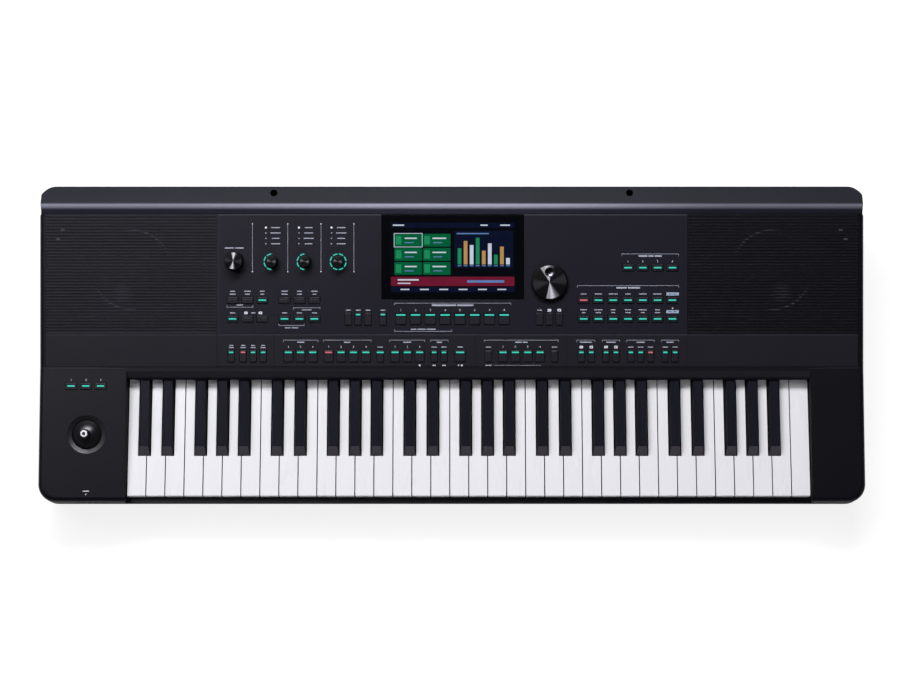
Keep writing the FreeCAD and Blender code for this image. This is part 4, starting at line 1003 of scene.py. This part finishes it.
PHONES_U = -451.3
piece = begin("cheek_prints")
words(PHONES_U, -152.6, 8.0)
arrow(PHONES_U, -156.6, 180.0)
end(piece, "print", place=CHEEK)


NUMBER_V, NUMBER_H = 25.8, 3.7


def numbers(name, rows, base):
    """Plain numbers from 1 on along rows of (row, v), set as type, turned to mesh and joined."""
    made = []
    for row, v in rows:
        for n, u in enumerate(stations(*row)):
            bpy.ops.object.select_all(action="DESELECT")
            bpy.ops.object.text_add(location=(u * MM, v * MM, 0.0))
            digit = bpy.context.object
            digit.data.body = str(n + 1)
            digit.data.size = NUMBER_H * MM
            digit.data.align_x = "CENTER"
            digit.data.align_y = "CENTER"
            digit.data.extrude = PRINT_T * MM
            digit.data.resolution_u = 2
            bpy.ops.object.convert(target="MESH")
            bpy.ops.object.transform_apply(location=True, rotation=True, scale=True)
            made.append(digit)
    for digit in made:
        digit.select_set(True)
    bpy.context.view_layer.objects.active = made[0]
    bpy.ops.object.join()
    piece = bpy.context.object
    rename(piece, name)
    end(piece, "print", place=base)


numbers("panel_numbers", (
    (MEMORY_ROW, STORE_WORD_V), (PART_ROW, 131.7),
    (INTRO_ROW, NUMBER_V), (MAIN_ROW, NUMBER_V), (ENDING_ROW, NUMBER_V), (PAD_ROW, NUMBER_V),
), DECK)
numbers("cheek_numbers", ((ASSIGN_ROW, -15.2),), CHEEK)


# Lights on the panel: dots beside the labels and arcs round the three encoders

ENCODER_U, ENCODER_V = (-222.8, -181.8, -140.8), 131.3
RING_IN, RING_OUT, RING_T = 9.0, 10.4, 0.15
SEGMENTS = 8
SEGMENT_GAP = 0.2
LIT = (range(2, 6), range(2, 6), range(SEGMENTS))

for name, skin, rows, radius in (("dots_lit", "dot", DOT_V[:1], 1.3), ("dots_dim", "print_dim", DOT_V[1:], 0.8)):
    piece = begin(name)
    for u in DOT_U:
        for v in rows:
            disc(u, v, radius, thick=0.15)
            raise_by(0.12)
            bpy.ops.transform.resize(value=(0.55, 0.55, 1.0))
    end(piece, skin)


def arc(u, v, inner, outer, start, sweep, thick):
    """A bent bar in edit mode: an edge drawn out along a spoke, spun about the middle and raised."""
    spoke = Vector((math.cos(start), math.sin(start), 0.0))
    bpy.ops.mesh.primitive_plane_add(size=MM)
    bpy.ops.mesh.merge(type="CENTER")
    bpy.ops.transform.translate(value=Vector((u, v, 0.0)) * MM + spoke * inner * MM)
    bpy.ops.mesh.extrude_region_move(TRANSFORM_OT_translate={"value": spoke * (outer - inner) * MM})
    bpy.ops.mesh.select_linked()
    bpy.ops.mesh.spin(steps=7, angle=sweep, center=(u * MM, v * MM, 0.0), axis=(0.0, 0.0, -1.0))
    bpy.ops.mesh.select_linked()
    raise_by(thick)


for name, skin, wanted in (("ring_segments_lit", "teal", True), ("ring_segments_dark", "guide_dark", False)):
    piece = begin(name)
    step = 2.0 * math.pi / SEGMENTS
    for u, lit in zip(ENCODER_U, LIT):
        for n in range(SEGMENTS):
            if (n in lit) == wanted:
                start = step * n + SEGMENT_GAP / 2.0
                arc(u, ENCODER_V, RING_IN, RING_OUT, start, step - SEGMENT_GAP, RING_T)
    bpy.ops.mesh.select_all(action="SELECT")
    bpy.ops.mesh.normals_make_consistent(inside=False)
    end(piece, skin)


# Knobs and the dial

KNOB_SIDES = 64


def grip(piece, low, high):
    """Sink every second facet of a knob's side between two heights, for the fingers."""
    inset, depth = 0.12, 0.3

    def wanted(centre, normal):
        step = int(round((math.atan2(centre.y, centre.x) / (2.0 * math.pi)) * KNOB_SIDES - 0.5))
        return abs(normal.z) < 0.4 and low * MM < centre.z < high * MM and step % 2 == 0

    pick_faces(piece, wanted)
    bpy.ops.mesh.inset(thickness=inset * MM, use_individual=True)
    bpy.ops.transform.shrink_fatten(value=-depth * MM)


def spun_with_painted_gleam(name, centre, radius, lean, spread, dark, light):
    """A material of this name for a spun face with a painted highlight, which only this knob has."""
    skins[name] = material(name, spun(centre, radius * MM, lean, spread, dark, light), Specular_IOR_Level=0.08)
    return name


def knobs(places, profile, low, high, face_r, face_h, shine, lean, spread):
    """Knobs of one shape, modelled once and copied: a gripped body and a spun cap, with a painted highlight, at each
    {name: (u, v)}.
    """
    body = turned("knob_body", profile, KNOB_SIDES)
    grip(body, low, high)
    smooth()
    cap = turned("knob_face", (
        (face_r, face_h - 0.3), (face_r, face_h - 0.02), (face_r - 0.25, face_h + 0.1), (0.0, face_h + 0.1),
    ), KNOB_SIDES)
    smooth()
    pairs = [(body, cap)] + [(copy(body), copy(cap)) for _ in range(len(places) - 1)]
    for (name, (u, v)), (piece, face) in zip(places.items(), pairs):
        rename(piece, name + "_body")
        rename(face, name + "_face")
        end(piece, "knob", name, spot(u, v))
        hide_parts(name)
        centre = spot(u, v, face_h).translation
        skin = spun_with_painted_gleam(name + "_spin_and_painted_gleam", centre, face_r, lean, spread, ink(10, 10, 12), shine)
        end(face, skin, name, spot(u, v))


# The last colour for each set of knobs is the painted highlight on its faces.
knobs({"volume_knob": (-269.6, 132.0)}, (
    (10.0, 0.6), (12.2, 0.6), (12.2, 2.0), (11.9, 2.4), (11.4, 13.0), (11.1, 14.3), (10.6, 14.75), (0.0, 14.7),
), 3.0, 12.5, 10.4, 14.7, ink(226, 226, 232), 0.12, 0.36)
knobs({f"encoder_knob_{n + 1}": (u, ENCODER_V) for n, u in enumerate(ENCODER_U)}, (
    (6.0, 0.6), (8.2, 0.6), (8.2, 1.6), (7.9, 2.0), (7.2, 11.6), (6.7, 12.6), (5.8, 12.95), (5.0, 12.75),
    (0.0, 12.75),
), 3.0, 10.5, 5.2, 12.75, ink(112, 112, 118), 1.75, 0.5)

DIAL_U, DIAL_V, DIAL_TOP, DIAL_FACE_R = 121.0, 105.9, 6.5, 20.8
DIMPLE_OUT, DIMPLE_DEPTH, FINGER_R = 12.5, 2.2, 10.41

dial = turned("data_dial_body", (
    (0.0, 0.6), (22.7, 0.6), (22.7, 4.4), (22.3, 5.4), (21.2, 6.2), (20.4, DIAL_TOP - 0.1), (20.0, DIAL_TOP),
    (0.0, DIAL_TOP),
), 96)
bpy.ops.object.mode_set(mode="OBJECT")
bpy.ops.object.select_all(action="DESELECT")
bpy.ops.mesh.primitive_uv_sphere_add(
    segments=48, ring_count=48, radius=FINGER_R * MM,
    location=(0.0, DIMPLE_OUT * MM, (DIAL_TOP - DIMPLE_DEPTH + FINGER_R) * MM),
)
finger_ball = bpy.context.object
only(dial)
dimple = dial.modifiers.new("dimple", "BOOLEAN")
dimple.operation = "DIFFERENCE"
dimple.object = finger_ball
bpy.ops.object.modifier_apply(modifier="dimple")
bpy.data.objects.remove(finger_ball)
smooth(25.0)
dial_face = spot(DIAL_U, DIAL_V, DIAL_TOP).translation
# The dial's face gets the same painted highlight.
dial_skin = spun_with_painted_gleam("dial_spin_and_painted_gleam", dial_face, DIAL_FACE_R, -0.19, 0.43, ink(10, 10, 13), ink(214, 214, 220))
end(dial, dial_skin, "data_dial", spot(DIAL_U, DIAL_V))
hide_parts("data_dial")

ring = turned("stick_ring", ((2.2, 21.9), (2.2, 22.1), (3.3, 22.1), (4.3, 21.1), (4.3, 20.8)), 40)
smooth()
end(ring, "ring_white", "joystick_cap", CHEEK @ Matrix.Translation(STICK))


# The screen's picture, a plain set of tiles, bars and dashes: (layer, u, v, width, height, corner)

SCREEN_U, SCREEN_V, SCREEN_W = 1.2, 137.0, 153.0
HEAD_V, FOOT_V = 176.6, 96.8
TILE_U, TILE_V = (-54.0, -18.6), (158.0, 140.5, 123.0)
TILES = [(u, v) for u in TILE_U for v in TILE_V]
BAR_U, BAR_STEP, BAR_W, BAR_FOOT = 9.6, 7.5, 4.6, 128.0
BAR_H = (20.0, 29.0, 24.0, 33.0, 17.0, 26.0, 12.0, 22.0, 8.0)
FRAME_W, FRAME_H, FRAME_LINE = 34.8, 16.8, 0.7
LAYER_T = 0.03


def bars(turn):
    """Every third bar of the chart, from the one whose turn it is."""
    return [
        (2.0, BAR_U + BAR_STEP * n, BAR_FOOT + tall / 2.0, BAR_W, tall, 0.0)
        for n, tall in enumerate(BAR_H) if n % 3 == turn
    ]


SCREEN_MARKS = {
    "screen_back": [(0.0, SCREEN_U, SCREEN_V, 156.0, 88.0, 0.0)],
    "screen_navy": [
        (1.0, SCREEN_U, HEAD_V, SCREEN_W, 6.4, 0.0),
        (1.0, 39.6, 146.6, 73.0, 46.0, 1.2),
        (1.0, SCREEN_U, FOOT_V, SCREEN_W, 6.2, 0.0),
    ],
    "screen_green": [(1.0, u, v, 34.0, 15.8, 1.0) for u, v in TILES],
    "screen_leaf": [(2.0, u - 12.0, v, 7.0, 10.5, 0.6) for u, v in TILES] + bars(0),
    "screen_gold": bars(1),
    "screen_wine": [(1.0, SCREEN_U, 107.0, SCREEN_W, 11.6, 1.0)],
    "screen_pale": [
        *((2.0, u + 3.2, v + 2.4, 15.0 + 2.0 * TILE_U.index(u), 1.7, 0.3) for u, v in TILES),
        *((2.0, u, FOOT_V + 0.2, 11.0, 1.5, 0.3) for u in stations(-58.0, 24.0, 6)),
        *((2.0, u, HEAD_V, width, 1.6, 0.3) for u, width in ((-66.0, 14.0), (40.0, 9.0), (66.0, 12.0))),
        (2.0, -54.0, 108.9, 26.0, 1.9, 0.3),
        (2.0, -59.0, 104.6, 16.0, 1.4, 0.3),
        *bars(2),
    ],
    "screen_blue": [
        *((2.0, u + 1.2, v - 3.0, 11.0, 1.3, 0.3) for u, v in TILES),
        *((2.0, u, BAR_FOOT - 1.6, BAR_W, 1.2, 0.0) for u in stations(BAR_U, BAR_STEP, len(BAR_H))),
        (2.0, 26.0, 166.2, 40.0, 1.5, 0.3),
        (2.0, 42.0, 106.9, 46.0, 3.0, 0.6),
    ],
}
for name, marks in SCREEN_MARKS.items():
    piece = begin(name)
    for layer, u, v, width, height, corner in marks:
        tile(u, v, width, height, 0.02 + LAYER_T * layer, LAYER_T, corner)
    end(piece, name)

piece = begin("screen_choice")
chosen_u, chosen_v = TILES[0]
for side in (0.5, -0.5):
    tile(chosen_u, chosen_v + FRAME_H * side, FRAME_W + 0.6, FRAME_LINE, 0.08, LAYER_T)
for side in (-0.5, 0.5):
    tile(chosen_u + FRAME_W * side, chosen_v, FRAME_LINE, FRAME_H + FRAME_LINE, 0.08, LAYER_T)
end(piece, "screen_pale")


# Rear sockets: a nut round each jack

JACK_ROW = (36.0, 24.0, 5)
JACK_Y, JACK_Z = 193.0, 74.0
NUT_TURN = Matrix.Rotation(math.radians(-90.0), 4, "X")

nut = turned("jack_nut", (
    (5.1, 0.0), (7.2, 0.0), (7.2, 0.7), (6.8, 0.95), (5.5, 0.95), (5.1, 0.6), (5.1, 0.0),
), 32)
smooth()
jack_x = stations(*JACK_ROW)
nuts = [nut] + [copy(nut) for _ in jack_x[1:]]
for n, (piece, x) in enumerate(zip(nuts, jack_x)):
    rename(piece, f"jack_nut_{n + 1}")
    end(piece, "steel", place=Matrix.Translation(Vector((x, JACK_Y, JACK_Z)) * MM) @ NUT_TURN)


# Camera, lamps and floor

camera_data = bpy.data.cameras.new("camera")
camera_data.lens = 89.46
camera_data.sensor_width = 36.0
camera = bpy.data.objects.new("camera", camera_data)
camera.location = (-0.0022, -0.47332, 2.82546)
camera.rotation_euler = (math.radians(10.0), 0.0, 0.0)
scene.collection.objects.link(camera)
scene.camera = camera

LAMP_COLOUR = (0.96, 0.95, 1.0)


def lamp(name, place, aim, width, depth, power, mirrored):
    light = bpy.data.lights.new(name, "AREA")
    light.shape = "RECTANGLE"
    light.size = width
    light.size_y = depth
    light.energy = power
    light.color = LAMP_COLOUR
    holder = bpy.data.objects.new(name, light)
    holder.location = place
    holder.rotation_euler = (Vector(aim) - Vector(place)).to_track_quat("-Z", "Y").to_euler()
    holder.visible_glossy = mirrored
    scene.collection.objects.link(holder)


lamp("rear_softbox", (-0.2, 1.45, 2.1), (0.0, 0.05, 0.05), 1.8, 0.7, 65.0, True)
lamp("left_softbox", (-1.42, 0.74, 2.55), (-0.1, 0.0, 0.05), 1.2, 1.2, 26.0, True)
lamp("front_fill", (0.4, -1.9, 1.5), (0.0, 0.0, 0.05), 2.2, 0.6, 14.0, False)

# The floor is plain pale paper to the part, and nearly white, with the part's shadow, to the camera.

FLOOR_W, FLOOR_Z = 9.0, -0.0004

bpy.ops.object.select_all(action="DESELECT")
bpy.ops.mesh.primitive_plane_add(size=FLOOR_W, location=(0.0, 0.0, FLOOR_Z))
floor = bpy.context.object
floor.name = "studio_floor"
floor_skin = bpy.data.materials.new("studio_paper")
floor_skin.use_nodes = True
tree = floor_skin.node_tree
tree.nodes.clear()
seen = Wire(tree, tree.nodes.new("ShaderNodeLightPath").outputs["Is Camera Ray"])
paper_pale = seen.node("ShaderNodeBsdfDiffuse", None, {"Color": (0.8, 0.8, 0.8, 1.0)})
shade = seen.node("ShaderNodeBsdfDiffuse", None, {"Color": (0.3, 0.3, 0.3, 1.0)})
glow = seen.node("ShaderNodeEmission", None, {"Color": (1.0, 1.0, 1.0, 1.0), "Strength": 0.82})
both = seen.node("ShaderNodeAddShader", None, {0: shade, 1: glow})
choice = seen.node("ShaderNodeMixShader", None, {"Fac": seen, 1: paper_pale, 2: both})
out = tree.nodes.new("ShaderNodeOutputMaterial")
tree.links.new(choice.socket, out.inputs["Surface"])
floor.data.materials.append(floor_skin)

# The room gives the part a dim grey light, least of it from overhead; the camera sees that grey at full strength.

world = bpy.data.worlds.new("studio")
world.use_nodes = True
scene.world = world
tree = world.node_tree
background = tree.nodes["Background"]
direction = Wire(tree, tree.nodes.new("ShaderNodeTexCoord").outputs["Generated"])
sky = direction.parts()[2].band(0.3, 0.9, 0.75, 0.05)
seen = Wire(tree, tree.nodes.new("ShaderNodeLightPath").outputs["Is Camera Ray"])
strength = sky + seen * (1.0 - sky)
tree.links.new(strength.socket, background.inputs["Strength"])
